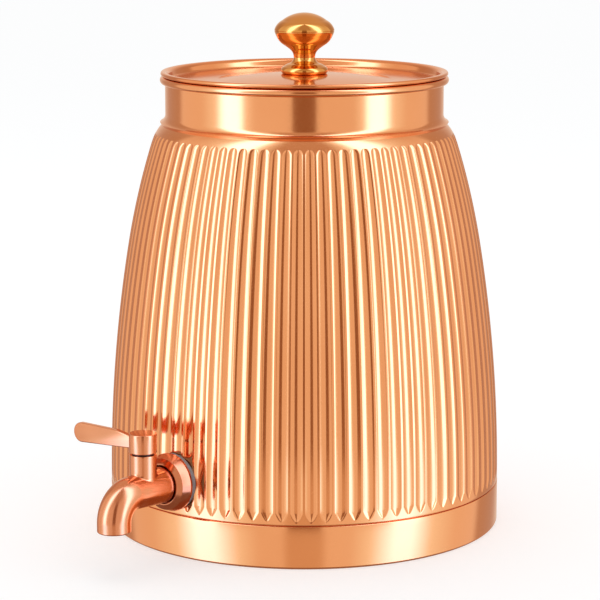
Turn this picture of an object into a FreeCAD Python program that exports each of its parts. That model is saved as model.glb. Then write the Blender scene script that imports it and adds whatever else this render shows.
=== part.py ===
import FreeCAD, Part
import Sketcher
import math
import os

# Copper water dispenser: a fluted barrel on a foot band, a loose pan lid with a turned knob,
# and a quarter-turn tap low on the front. Millimetres, +Z up. The origin is the centre of the
# foot band on the floor, and the tap points along -Y.

Vector = FreeCAD.Vector

DIMENSIONS = (
    # Foot band
    ("band_radius", 120.0, "outside of the foot band"),
    ("band_height", 25.6, "floor to the top edge of the band"),
    ("band_wall", 1.2, "sheet of the band"),
    ("band_hem", 7.0, "flat hem turned inward that rests on the floor"),
    ("band_corner", 1.5, "rounding between wall and hem"),
    ("band_lip", 0.6, "rounding of the top edge"),
    ("braze_gap", 0.1, "gap that the braze fills between lapped sheets"),
    # Barrel
    ("wall", 1.2, "sheet of the barrel, crest to plain inside"),
    ("seam_gap", 0.4, "shadow line between band and barrel"),
    ("skirt_bottom", 7.0, "lower edge of the skirt inside the band"),
    ("belly_radius", 119.85, "ridges at the foot, the widest place"),
    ("shoulder_edge_radius", 92.7, "ridges where the side turns into the shoulder"),
    ("shoulder_edge_height", 235.0, "height of that turn"),
    ("shoulder_lean", 17.6, "degrees that the side leans in at that turn"),
    ("side_balance", 2.4, "share of the lower side arc to the upper one"),
    ("shoulder_round", 28.0, "radius of the shoulder"),
    ("neck_radius", 84.4, "outside of the smooth neck"),
    ("neck_fillet", 2.2, "hollow between shoulder and neck"),
    ("rim_height", 274.9, "top of the rolled rim"),
    ("bead_radius", 2.3, "rolled rim, outside"),
    ("bead_overhang", 3.1, "rim beyond the neck"),
    # Flutes
    ("flute_count", 88, "flutes round the barrel"),
    ("flute_turn", 1.0, "degrees from the tap's direction to the middle of a flute"),
    ("flute_width", 0.68, "share of the pitch that a flute takes"),
    ("flute_floor", 0.26, "share of the pitch that its floor takes"),
    ("flute_depth", 0.66, "flute below the ridges, at the belly"),
    ("flute_bottom", 29.2, "lower end of the flutes"),
    ("flute_top", 240.5, "upper end of the flutes, on the shoulder"),
    ("flute_runout", 5.5, "length over which a flute rises to its rounded end"),
    # Vessel floor
    ("floor_height", 13.0, "inside bottom above the table"),
    ("floor_wall", 1.2, "sheet of the bottom disc"),
    ("floor_corner", 3.0, "rounding of the bottom disc"),
    ("floor_flange", 6.0, "turned-down flange of the bottom disc"),
    # Tap body
    ("tap_height", 45.6, "axis of the tap above the table"),
    ("tap_neck", 14.85, "front of the flange to the valve's axis"),
    ("spout_reach", 24.6, "valve axis to the axis of the outlet"),
    ("bend_radius", 14.8, "centre line of the spout's bend"),
    ("outlet_length", 4.8, "straight end of the spout"),
    ("spout_radius", 9.9, "outside of the bend and the outlet"),
    ("spout_bore", 7.2, "waterway in the bend and the outlet"),
    ("pipe_radius", 11.1, "outside of the body at the flange"),
    ("bonnet_radius", 7.5, "outside of the bonnet"),
    ("bonnet_height", 21.3, "top of the bonnet above the tap axis"),
    ("bonnet_blend", 1.0, "fillet between bonnet and body"),
    ("lip_bevel", 0.6, "bevel of the outlet's edge"),
    ("shank_radius", 8.0, "threaded tail through the wall, over the thread"),
    ("shank_tail", 3.0, "tail beyond the nut"),
    ("inlet_bore", 5.0, "waterway in the tail"),
    ("port_radius", 3.5, "waterway through the valve"),
    ("chamber_radius", 5.6, "bore that holds the plug"),
    ("chamber_depth", 7.5, "blind end of that bore below the tap axis"),
    ("chamber_wall", 2.4, "metal between the plug's bore and the bend's waterway"),
    ("thread_clearance", 0.05, "radial gap at threads and pressed pieces"),
    ("hole_clearance", 0.4, "radial gap round the tail in the barrel's wall"),
    # Flange and seals
    ("flange_radius", 17.2, "outside of the tap's flange"),
    ("flange_thickness", 8.5, "front face to back face"),
    ("flange_recess", 5.5, "depth of the well that the body sits in"),
    ("flange_ring_gap", 0.45, "dark ring between body and flange"),
    ("flange_ridge_radius", 15.4, "ridge between front and side"),
    ("flange_front_depth", 1.7, "how far the ridge stands back"),
    ("flange_edge", 1.6, "straight outer edge at the back"),
    ("flange_land", 0.7, "flat ring round the well"),
    ("gasket_bed", 1.6, "outer gasket between wall and flange, at its middle"),
    ("gasket_inset", 0.5, "outer gasket inside the flange's edge"),
    ("bed_clearance", 0.2, "gap between a gasket and the curved wall"),
    ("inner_bed", 2.4, "inner gasket between wall and washer, at its middle"),
    ("washer_radius", 14.0, "inner washer and gasket"),
    ("washer_thickness", 1.0, "inner washer"),
    ("nut_flats", 24.0, "lock nut across flats"),
    ("nut_thickness", 7.0, "lock nut"),
    # Valve
    ("plug_clearance", 0.05, "radial running gap of plug and stem"),
    ("plug_float", 0.2, "gap under and over the plug"),
    ("plug_height", 12.0, "top of the plug's barrel above the tap axis"),
    ("stem_radius", 3.4, "round part of the stem"),
    ("square_size", 4.8, "drive square across flats"),
    ("square_clearance", 0.05, "gap at each flat"),
    ("square_top", 30.0, "top of the square above the tap axis"),
    ("ring_radius", 0.7, "section of the plug's seal rings"),
    ("ring_groove_width", 1.7, "groove of an O-ring"),
    ("ring_height", 6.0, "lower O-ring above the tap axis"),
    ("ring_pitch", 3.2, "from one O-ring to the next"),
    ("thrust_thickness", 0.8, "thrust washer between plug and gland"),
    ("gland_collar_radius", 6.3, "collar seen as the dark line under the cap"),
    ("gland_collar", 0.8, "height of that collar"),
    ("seal_bore", 3.3, "bore of the port seal"),
    ("seal_length", 9.0, "valve axis to the back of the port seal"),
    ("seal_gap", 0.1, "port seal to plug"),
    ("sleeve_bore", 3.8, "bore of the sleeve that holds the seal"),
    ("sleeve_length", 8.0, "that sleeve"),
    # Lever
    ("cap_radius", 8.1, "lever cap"),
    ("cap_gap", 0.3, "collar to cap"),
    ("cap_height", 11.3, "lever cap"),
    ("cap_chamfer", 0.5, "edges of the cap"),
    ("blade_reach", 55.5, "valve axis to the tip of the lever"),
    ("blade_tip_radius", 5.6, "rounded tip of the lever"),
    ("blade_tip_height", 26.8, "middle of the tip above the tap axis"),
    ("blade_kink", 20.5, "valve axis to the place where the blade narrows"),
    ("blade_kink_top", 32.6, "upper edge at that place"),
    ("blade_root", 4.6, "valve axis to the blade's end in the cap"),
    ("blade_root_top", 30.2, "upper edge at the root"),
    ("blade_root_bottom", 23.7, "lower edge at the root"),
    ("blade_thickness", 3.6, "plate of the lever"),
    ("blade_edge", 0.4, "bevelled edges of the lever"),
    ("grub_radius", 1.5, "grub screw in the back of the cap"),
    ("grub_height", 28.0, "that screw above the tap axis"),
    ("grub_inset", 0.6, "that screw below the cap's surface"),
    # Lid
    ("lid_gap", 0.3, "rolled rim of the barrel to the lid"),
    ("lid_roll", 1.65, "rolled edge of the lid"),
    ("lid_overhang", 85.4, "vessel axis to the middle of the lid's roll"),
    ("lid_land_inner", 83.0, "inner end of the lid's flat land"),
    ("lid_land_drop", 0.2, "fall of that land"),
    ("lid_wall_radius", 81.2, "inside of the sunk pan"),
    ("lid_wall_round", 1.8, "edge from the land into the pan"),
    ("lid_sheet", 1.0, "sheet of the lid"),
    ("lid_floor_height", 273.2, "top of the sunk floor"),
    ("lid_floor_round", 1.7, "hollow between pan wall and floor"),
    ("lid_dome_radius", 52.0, "where the centre starts to rise"),
    ("lid_dome_rise", 2.8, "rise to the seat of the knob"),
    ("lid_seat_radius", 15.0, "flat seat of the knob"),
    ("skirt_radius_gap", 1.5, "neck to the lid's guide ring"),
    ("skirt_depth", 12.0, "lid's guide ring"),
    ("skirt_flange", 7.0, "brazed flange of the guide ring"),
    ("skirt_sheet", 1.0, "sheet of the guide ring"),
    # Knob
    ("knob_foot_radius", 14.4, "widest place of the foot"),
    ("knob_foot_base", 13.2, "foot where it stands on the lid"),
    ("knob_foot_middle", 1.6, "height of that widest place"),
    ("knob_foot_top", 3.3, "top of the foot's lip"),
    ("knob_foot_lip", 13.2, "radius at the top of the foot's lip"),
    ("knob_waist_radius", 6.6, "narrowest place"),
    ("knob_waist_height", 9.8, "height of the narrowest place"),
    ("knob_collar_radius", 8.1, "small collar under the head"),
    ("knob_collar_height", 14.8, "height of that collar"),
    ("knob_collar_band", 1.0, "that collar, from edge to edge"),
    ("knob_bowl_radius", 16.9, "lower part of the head"),
    ("knob_bowl_height", 21.3, "height of that place"),
    ("knob_head_radius", 18.2, "widest place of the head"),
    ("knob_head_height", 25.6, "height of the widest place"),
    ("knob_crown_radius", 13.0, "where the crown turns into the side"),
    ("knob_crown_height", 33.3, "height of that place"),
    ("knob_height", 36.9, "top of the knob above the lid"),
    ("screw_radius", 2.5, "screw that holds the knob"),
    ("screw_clearance", 0.2, "that screw in the lid and washer"),
    ("screw_reach", 12.0, "that screw inside the knob"),
    ("screw_head_radius", 4.6, "its head"),
    ("screw_head_height", 2.8, "its head"),
    ("knob_washer_radius", 8.0, "washer under the lid"),
    ("knob_washer_thickness", 1.0, "washer under the lid"),
)


class Size:
    """A length that carries both its number and its spreadsheet formula."""

    def __init__(self, number, formula):
        self.number = number
        self.formula = formula

    @staticmethod
    def of(value):
        if isinstance(value, Size):
            return value
        return Size(float(value), "%s" % value)

    def combined(self, other, sign, number):
        return Size(number, "(%s %s %s)" % (self.formula, sign, Size.of(other).formula))

    def __add__(self, other):
        return self.combined(other, "+", self.number + Size.of(other).number)

    def __sub__(self, other):
        return self.combined(other, "-", self.number - Size.of(other).number)

    def __mul__(self, other):
        return self.combined(other, "*", self.number * Size.of(other).number)

    def __truediv__(self, other):
        return self.combined(other, "/", self.number / Size.of(other).number)

    def root(self):
        return Size(math.sqrt(self.number), "sqrt(%s)" % self.formula)

    def __neg__(self):
        return Size(-self.number, "(0 - %s)" % self.formula)

    def __float__(self):
        return self.number


class Sizes:
    """The spreadsheet's cells by name, each as a Size."""

    def __init__(self, document):
        self.sheet = document.addObject("Spreadsheet::Sheet", "Dims")
        for row, (alias, number, meaning) in enumerate(DIMENSIONS, start=1):
            self.sheet.set("A%d" % row, alias)
            self.sheet.set("B%d" % row, "%s" % number)
            self.sheet.set("C%d" % row, meaning)
            self.sheet.setAlias("B%d" % row, alias)
        document.recompute()

    def __getattr__(self, alias):
        return Size(float(self.sheet.get(alias)), "Dims.%s" % alias)


doc = FreeCAD.newDocument("Dispenser")
dims = Sizes(doc)
valve_reach = dims.belly_radius + dims.gasket_bed + dims.flange_thickness + dims.tap_neck


# Helpers for sketches and features

def bind(item, prop, size):
    """Tie a property to the spreadsheet."""
    item.setExpression(prop, Size.of(size).formula)


def new_body(name):
    body = doc.addObject("PartDesign::Body", name)
    body.Label = name
    return body


def at_valve(body):
    """Put a body's own origin where the valve's axis crosses the tap's axis."""
    body.Placement = FreeCAD.Placement(
        Vector(0, -valve_reach.number, dims.tap_height.number), FreeCAD.Rotation()
    )
    bind(body, "Placement.Base.y", -valve_reach)
    bind(body, "Placement.Base.z", dims.tap_height)


def at_lid_floor(body):
    """Put a body's own origin on the knob's seat at the middle of the lid."""
    seat = dims.lid_floor_height + dims.lid_dome_rise
    body.Placement = FreeCAD.Placement(Vector(0, 0, seat.number), FreeCAD.Rotation())
    bind(body, "Placement.Base.z", seat)


def new_sketch(body, name, role, offset=None):
    sketch = body.newObject("Sketcher::SketchObject", name)
    plane = [item for item in body.Origin.OriginFeatures if item.Role == role][0]
    sketch.AttachmentSupport = (plane, [""])
    sketch.MapMode = "FlatFace"
    if offset is not None:
        sketch.AttachmentOffset = FreeCAD.Placement(
            Vector(0, 0, offset.number), FreeCAD.Rotation()
        )
        bind(sketch, "AttachmentOffset.Base.z", offset)
    return sketch


def dimension(sketch, kind, *place_and_size):
    """Add one driving constraint and bind it to the spreadsheet."""
    size = Size.of(place_and_size[-1])
    places = place_and_size[:-1]
    index = sketch.addConstraint(Sketcher.Constraint(kind, *places, size.number))
    if "Dims." in size.formula:
        sketch.setExpression("Constraints[%d]" % index, size.formula)


def outline(sketch, points, arcs=None):
    """Draw a closed counter-clockwise outline through points.

    arcs maps the number of a point to the radius of the arc that leaves it: positive where the
    outline is convex, negative where it is hollow.
    """
    arcs = arcs or {}
    count = len(points)
    spots = [Vector(Size.of(x).number, Size.of(y).number, 0) for x, y in points]
    ends = []
    for index in range(count):
        start = spots[index]
        finish = spots[(index + 1) % count]
        if index in arcs:
            radius = Size.of(arcs[index]).number
            chord = finish - start
            half = chord.Length / 2
            depth = abs(radius) - math.sqrt(max(0.0, radius * radius - half * half))
            outward = Vector(chord.y, -chord.x, 0).normalize()
            middle = (start + finish) * 0.5 + outward * math.copysign(depth, radius)
            if radius > 0:
                arc = Part.Arc(start, middle, finish)
            else:
                arc = Part.Arc(finish, middle, start)
            sketch.addGeometry(arc, False)
        else:
            sketch.addGeometry(Part.LineSegment(start, finish), False)
        drawn = sketch.Geometry[index]
        forward = drawn.StartPoint.distanceToPoint(start) < 1e-6
        ends.append((1, 2) if forward else (2, 1))
    for index in range(count):
        following = (index + 1) % count
        sketch.addConstraint(
            Sketcher.Constraint(
                "Coincident", index, ends[index][1], following, ends[following][0]
            )
        )
    for index, (x, y) in enumerate(points):
        dimension(sketch, "DistanceX", -1, 1, index, ends[index][0], x)
        dimension(sketch, "DistanceY", -1, 1, index, ends[index][0], y)
    for index, radius in arcs.items():
        size = Size.of(radius)
        dimension(sketch, "Radius", index, size if size.number > 0 else -size)
    return sketch


def bowed(start, finish, radius):
    """The middle of a convex arc from start to finish in a counter-clockwise outline."""
    x, y = [Size.of(value) for value in start]
    across = Size.of(finish[0]) - x
    along = Size.of(finish[1]) - y
    radius = Size.of(radius)
    square = across * across + along * along
    depth = radius - (radius * radius - square / 4).root()
    share = depth / square.root()
    return x + across / 2 + along * share, y + along / 2 - across * share


def chorded(points, arcs):
    """Put the middle of each arc between its ends, so that two chords follow it.

    arcs maps the number of a point to the radius of the arc that leaves it, negative where the
    outline is hollow there.
    """
    result = []
    for index, spot in enumerate(points):
        result.append(spot)
        if index in arcs:
            following = points[(index + 1) % len(points)]
            radius = Size.of(arcs[index])
            if radius.number > 0:
                result.append(bowed(spot, following, radius))
            else:
                result.append(bowed(following, spot, -radius))
    return result


def around(x, y, radius, sides):
    """Corners of an even-sided outline whose flats touch a circle."""
    corner = Size.of(radius) / math.cos(math.pi / sides)
    points = []
    for index in range(sides):
        angle = math.pi * (2 * index + 1) / sides
        points.append((corner * math.cos(angle) + x, corner * math.sin(angle) + y))
    return points


def circle(sketch, x, y, radius):
    spot = Vector(Size.of(x).number, Size.of(y).number, 0)
    index = sketch.addGeometry(
        Part.Circle(spot, Vector(0, 0, 1), Size.of(radius).number), False
    )
    dimension(sketch, "DistanceX", -1, 1, index, 3, x)
    dimension(sketch, "DistanceY", -1, 1, index, 3, y)
    dimension(sketch, "Radius", index, radius)
    return index


def level_axis(sketch, height, half_length):
    """A level construction line in the sketch, to turn a section about."""
    line = Part.LineSegment(
        Vector(-half_length, Size.of(height).number, 0),
        Vector(half_length, Size.of(height).number, 0),
    )
    index = sketch.addGeometry(line, True)
    dimension(sketch, "DistanceX", -1, 1, index, 1, -half_length)
    dimension(sketch, "DistanceX", -1, 1, index, 2, half_length)
    dimension(sketch, "DistanceY", -1, 1, index, 1, height)
    dimension(sketch, "DistanceY", -1, 1, index, 2, height)


def feature(body, kind, name, sketch, adds):
    """Add a sketch-based feature; adds says whether it adds metal or removes it."""
    item = body.newObject("PartDesign::" + kind, name)
    item.Profile = sketch
    sketch.Visibility = False
    item.addProperty("App::PropertyBool", "AddsMetal")
    item.AddsMetal = adds
    return item


def turned(body, name, sketch, axis="V_Axis", angle=360, adds=True, reverse=False):
    kind = "Revolution" if adds else "Groove"
    item = feature(body, kind, name, sketch, adds)
    item.ReferenceAxis = (sketch, [axis])
    item.Angle = angle
    item.Reversed = reverse
    doc.recompute()
    return item


def raised(body, name, sketch, length, reverse=False, both_ways=False):
    item = feature(body, "Pad", name, sketch, True)
    item.Length = Size.of(length).number
    bind(item, "Length", length)
    item.Reversed = reverse
    if both_ways:
        item.SideType = "Symmetric"
    doc.recompute()
    return item


def cut_out(body, name, sketch, length, reverse=False, both_ways=False):
    item = feature(body, "Pocket", name, sketch, False)
    item.Length = Size.of(length).number
    bind(item, "Length", length)
    item.Reversed = reverse
    if both_ways:
        item.SideType = "Symmetric"
    doc.recompute()
    return item


def edges_where(shape, wanted):
    return [
        "Edge%d" % (index + 1)
        for index, edge in enumerate(shape.Edges)
        if wanted(edge)
    ]


def dressed(body, kind, name, wanted, size):
    """Round or chamfer the edges of the body's last feature that wanted picks."""
    base = body.Tip
    names = edges_where(base.Shape, wanted)
    if not names:
        raise RuntimeError("no edge to dress for " + name)
    item = body.newObject("PartDesign::" + kind, name)
    item.Base = (base, names)
    prop = "Radius" if kind == "Fillet" else "Size"
    setattr(item, prop, Size.of(size).number)
    bind(item, prop, size)
    doc.recompute()
    return item


def turned_ring(body, inner, outer, low, high, role="XZ_Plane", axis="V_Axis"):
    """A plain ring of rectangular section about the body's own axis."""
    sketch = new_sketch(body, body.Name + "_section", role)
    if role == "XZ_Plane":
        points = ((inner, low), (outer, low), (outer, high), (inner, high))
    else:
        points = ((low, inner), (high, inner), (high, outer), (low, outer))
    outline(sketch, points)
    return turned(body, body.Name + "_turned", sketch, axis)


# Curve of the barrel's side, in radius and height

def side_arcs():
    """Two tangent arcs from the belly to the shoulder, then the shoulder and the neck's hollow.

    Returns the arcs as (centre radius, centre height, arc radius, top height, hollow).
    """
    foot = Vector(dims.belly_radius.number, dims.band_height.number, 0)
    edge = Vector(dims.shoulder_edge_radius.number, dims.shoulder_edge_height.number, 0)
    lean = math.radians(dims.shoulder_lean.number)
    balance = dims.side_balance.number
    upright = Vector(0, 1, 0)
    leaning = Vector(-math.sin(lean), math.cos(lean), 0)
    span = edge - foot
    square = 2 * balance * (upright.dot(leaning) - 1)
    linear = -2 * span.dot(upright * balance + leaning)
    root = math.sqrt(linear * linear - 4 * square * span.dot(span))
    upper = max((-linear - root) / (2 * square), (-linear + root) / (2 * square))
    lower = balance * upper
    low_corner = foot + upright * lower
    high_corner = edge - leaning * upper
    joint = (low_corner * upper + high_corner * lower) * (1 / (lower + upper))

    def arc_through(point, tangent, other):
        inward = Vector(-tangent.y, tangent.x, 0)
        across = other - point
        radius = across.dot(across) / (2 * across.dot(inward))
        return point + inward * radius, radius

    low_centre, low_radius = arc_through(foot, upright, joint)
    high_centre, high_radius = arc_through(edge, leaning, joint)
    outward = Vector(math.cos(lean), math.sin(lean), 0)
    turn_radius = dims.shoulder_round.number
    turn_centre = edge - outward * turn_radius
    hollow_radius = dims.neck_fillet.number
    hollow_x = dims.neck_radius.number + hollow_radius
    reach = turn_radius + hollow_radius
    rise = math.sqrt(reach * reach - (hollow_x - turn_centre.x) ** 2)
    hollow_centre = Vector(hollow_x, turn_centre.y + rise, 0)
    share = turn_radius / reach
    turn_top = turn_centre.y + (hollow_centre.y - turn_centre.y) * share
    return (
        (low_centre.x, low_centre.y, low_radius, joint.y, False),
        (high_centre.x, high_centre.y, high_radius, edge.y, False),
        (turn_centre.x, turn_centre.y, turn_radius, turn_top, False),
        (hollow_centre.x, hollow_centre.y, hollow_radius, hollow_centre.y, True),
    )


SIDE = side_arcs()
NEAR = 1e-6


def side_radius(height, inset=0.0):
    """Radius of the barrel at a height, on a line set in from the ridges."""
    for centre_x, centre_y, radius, top, hollow in SIDE:
        if height <= top:
            if hollow:
                grown = radius + inset
                return centre_x - math.sqrt(max(0.0, grown ** 2 - (height - centre_y) ** 2))
            shrunk = radius - inset
            return centre_x + math.sqrt(shrunk ** 2 - (height - centre_y) ** 2)
    return dims.neck_radius.number - inset


def chord_heights():
    """Heights where the flat bands of the side meet, from the flutes' lower end to the neck."""
    low = dims.flute_bottom.number + dims.flute_runout.number
    high = dims.flute_top.number - dims.flute_runout.number
    heights = [dims.flute_bottom.number]
    heights += [low + (high - low) * step / SIDE_BANDS for step in range(SIDE_BANDS + 1)]
    rise = SHOULDER_TOP - dims.flute_top.number
    heights += [dims.flute_top.number + rise * step / SHOULDER_BANDS for step in range(SHOULDER_BANDS)]
    return heights + [SHOULDER_TOP, NECK_FOOT]


SIDE_BANDS = 5
SHOULDER_BANDS = 3
SHOULDER_TOP = SIDE[2][3]
NECK_FOOT = SIDE[3][3]
CHORDS = chord_heights()
END_STEP = 0.22  # where a flute's round end changes slope, as a share of its run-out


def add_shape(name, shape):
    item = doc.addObject("Part::Feature", name)
    item.Label = name
    item.Shape = shape
    item.Placement = FreeCAD.Placement()
    return item


# Fluted part of the barrel

def flute_ring(height, fullness):
    """Four points for each flute, all round at a height.

    They are one edge of the flute, the two sides of its floor and the other edge. Fullness is 1
    where the flute has its whole width and depth, and 0 past its ends, where each edge meets
    its side of the floor. The depth follows the radius, so that whole bands stay flat.
    """
    count = int(dims.flute_count.number)
    pitch = 2 * math.pi / count
    first = math.radians(dims.flute_turn.number) - math.pi / 2
    crest = side_radius(height)
    floor = crest * (1 - fullness * dims.flute_depth.number / dims.belly_radius.number)
    narrow = dims.flute_floor.number / 4
    edge = narrow + (dims.flute_width.number / 2 - narrow) * fullness
    side = narrow + (dims.flute_floor.number / 2 - narrow) * fullness
    points = []
    for index in range(count):
        for share, radius in ((-edge, crest), (-side, floor), (side, floor), (edge, crest)):
            turn = first + pitch * (index + share)
            points.append(Vector(radius * math.cos(turn), radius * math.sin(turn), height))
    return points


def outside_rings():
    """Rings from the seam over the band to the neck; the flutes' ends are round."""
    low = dims.flute_bottom.number
    high = dims.flute_top.number
    step = dims.flute_runout.number * END_STEP
    fullness = math.sqrt(1 - (1 - END_STEP) ** 2)
    seam = dims.band_height.number + dims.seam_gap.number
    rings = [(seam, 0.0), (low, 0.0), (low + step, fullness)]
    rings += [(height, 1.0) for height in CHORDS[1:SIDE_BANDS + 2]]
    rings.append((high - step, fullness))
    rings += [(height, 0.0) for height in CHORDS[SIDE_BANDS + 2:-1]]
    return [flute_ring(*ring) for ring in rings]


def flat_face(corners):
    return Part.Face(Part.makePolygon(list(corners) + [corners[0]]))


def without_repeats(points):
    kept = []
    for spot in points:
        if not kept or not spot.isEqual(kept[-1], NEAR):
            kept.append(spot)
    if len(kept) > 1 and kept[0].isEqual(kept[-1], NEAR):
        kept.pop()
    return kept


def facets(low, high):
    """Flat faces between two rings; one whose corners lie in no plane becomes two."""
    faces = []
    for index in range(len(low)):
        following = (index + 1) % len(low)
        corners = without_repeats((low[index], low[following], high[following], high[index]))
        if len(corners) < 3:
            continue
        upright = (corners[1] - corners[0]).cross(corners[2] - corners[0]).normalize()
        if abs(upright.dot(corners[-1] - corners[0])) > NEAR:
            faces.append(flat_face(corners[:3]))
            faces.append(flat_face([corners[0], corners[2], corners[3]]))
        else:
            faces.append(flat_face(corners))
    return faces


def vessel_form(rings, skirt, neck, bottom, top):
    """A flat-faced belly through rings of points, with a plain skirt below and a neck above."""
    faces = [flat_face(without_repeats(rings[0])), flat_face(without_repeats(rings[-1]))]
    for low, high in zip(rings[:-1], rings[1:]):
        faces += facets(low, high)
    shell = Part.makeShell(faces)
    shell.sewShape()
    belly = Part.makeSolid(shell)
    if belly.Volume < 0:
        belly.reverse()
    seam = rings[0][0].z
    shoulder = rings[-1][0].z
    lower = Part.makeCylinder(skirt, seam - bottom, Vector(0, 0, bottom))
    upper = Part.makeCylinder(neck, top - shoulder, Vector(0, 0, shoulder))
    return belly.fuse([lower, upper])


def barrel_outside():
    """Everything inside the outer skin: plain foot, fluted side, shoulder and neck."""
    return vessel_form(
        outside_rings(),
        (dims.band_radius - dims.band_wall - dims.braze_gap).number,
        dims.neck_radius.number,
        dims.skirt_bottom.number,
        (dims.rim_height - dims.bead_radius).number,
    )


def side_form(inset):
    """The barrel's side as a smooth solid, for a gasket that beds against it."""
    low = dims.band_height.number
    high = dims.shoulder_edge_height.number
    heights = [low] + [height for height in CHORDS if low < height < high] + [high]
    corners = [Vector(0, 0, low)]
    corners += [Vector(side_radius(height, inset), 0, height) for height in heights]
    corners.append(Vector(0, 0, high))
    return flat_face(corners).revolve(Vector(0, 0, 0), Vector(0, 0, 1), 360)


def cavity_ring(height):
    """One point behind each ridge, all round on the inside of the wall."""
    count = int(dims.flute_count.number)
    pitch = 2 * math.pi / count
    first = math.radians(dims.flute_turn.number) - math.pi / 2 + pitch / 2
    radius = side_radius(height, dims.wall.number)
    return [
        Vector(
            radius * math.cos(first + pitch * index),
            radius * math.sin(first + pitch * index),
            height,
        )
        for index in range(count)
    ]


def vessel_cavity():
    """The space inside the barrel's wall, open at the neck and at the foot."""
    wall = dims.wall.number
    beyond = 1.0
    seam = (dims.band_height + dims.seam_gap).number + wall
    shoulder = SHOULDER_TOP - wall
    heights = [seam] + [height for height in CHORDS if seam < height < shoulder - NEAR] + [shoulder]
    return vessel_form(
        [cavity_ring(height) for height in heights],
        (dims.band_radius - dims.band_wall - dims.braze_gap).number - wall,
        dims.neck_radius.number - wall,
        dims.skirt_bottom.number - beyond,
        dims.rim_height.number + beyond,
    )


# Barrel and foot

outside = add_shape("barrel_outside", barrel_outside())
cavity = add_shape("vessel_cavity", vessel_cavity())
bed = dims.bed_clearance
outer_form = add_shape("outer_form", side_form(-bed.number))
inner_form = add_shape("inner_form", side_form((dims.wall + bed).number))
blank = doc.addObject("Part::Cut", "barrel_blank")
blank.Base = outside
blank.Tool = cavity
doc.recompute()

bead_x = dims.neck_radius + dims.bead_overhang - dims.bead_radius
bead_z = dims.rim_height - dims.bead_radius


def make_barrel():
    body = new_body("barrel_shell")
    body.BaseFeature = blank
    doc.recompute()
    curl = new_sketch(body, "curl_section", "XZ_Plane")
    outline(curl, around(bead_x, bead_z, dims.bead_radius, 8))
    turned(body, "rolled_rim", curl)
    hole = new_sketch(body, "tap_hole_section", "XZ_Plane")
    circle(hole, 0, dims.tap_height, dims.shank_radius + dims.hole_clearance)
    cut_out(body, "tap_hole", hole, dims.belly_radius + dims.gasket_bed, reverse=True)
    return body


def make_bottom_disc():
    body = new_body("bottom_disc")
    edge = dims.band_radius - dims.band_wall - dims.braze_gap * 2 - dims.wall
    inner = edge - dims.floor_wall
    top = dims.floor_height
    under = top - dims.floor_wall
    turn = edge - dims.floor_corner
    low = top - dims.floor_flange
    points = (
        (0, under),
        (turn, under),
        (inner, top - dims.floor_corner),
        (inner, low),
        (edge, low),
        (edge, top - dims.floor_corner),
        (turn, top),
        (0, top),
    )
    section = new_sketch(body, "disc_section", "XZ_Plane")
    outline(section, chorded(points, {5: dims.floor_corner}))
    turned(body, "disc_turned", section)
    return body


def make_base_band():
    body = new_body("base_band")
    outer = dims.band_radius
    inner = outer - dims.band_wall
    hem = inner - dims.band_hem
    section = new_sketch(body, "band_section", "XZ_Plane")
    outline(
        section,
        (
            (outer - dims.band_corner, 0),
            (outer, dims.band_corner),
            (outer, dims.band_height - dims.band_lip),
            (outer - dims.band_lip, dims.band_height),
            (inner, dims.band_height),
            (inner, dims.band_wall),
            (hem, dims.band_wall),
            (hem, 0),
        ),
    )
    turned(body, "band_turned", section)
    return body


# Tap: places along its own axis, measured from the valve towards the vessel

flange_back = dims.flange_thickness + dims.tap_neck
flange_front = flange_back - dims.flange_thickness
body_shoulder = flange_front + dims.flange_recess
washer_front = flange_back + dims.gasket_bed + dims.wall + dims.inner_bed
nut_front = washer_front + dims.washer_thickness
shank_end = nut_front + dims.nut_thickness + dims.shank_tail
bend_start = dims.spout_reach - dims.bend_radius
shank_hole = dims.shank_radius + dims.thread_clearance


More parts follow.
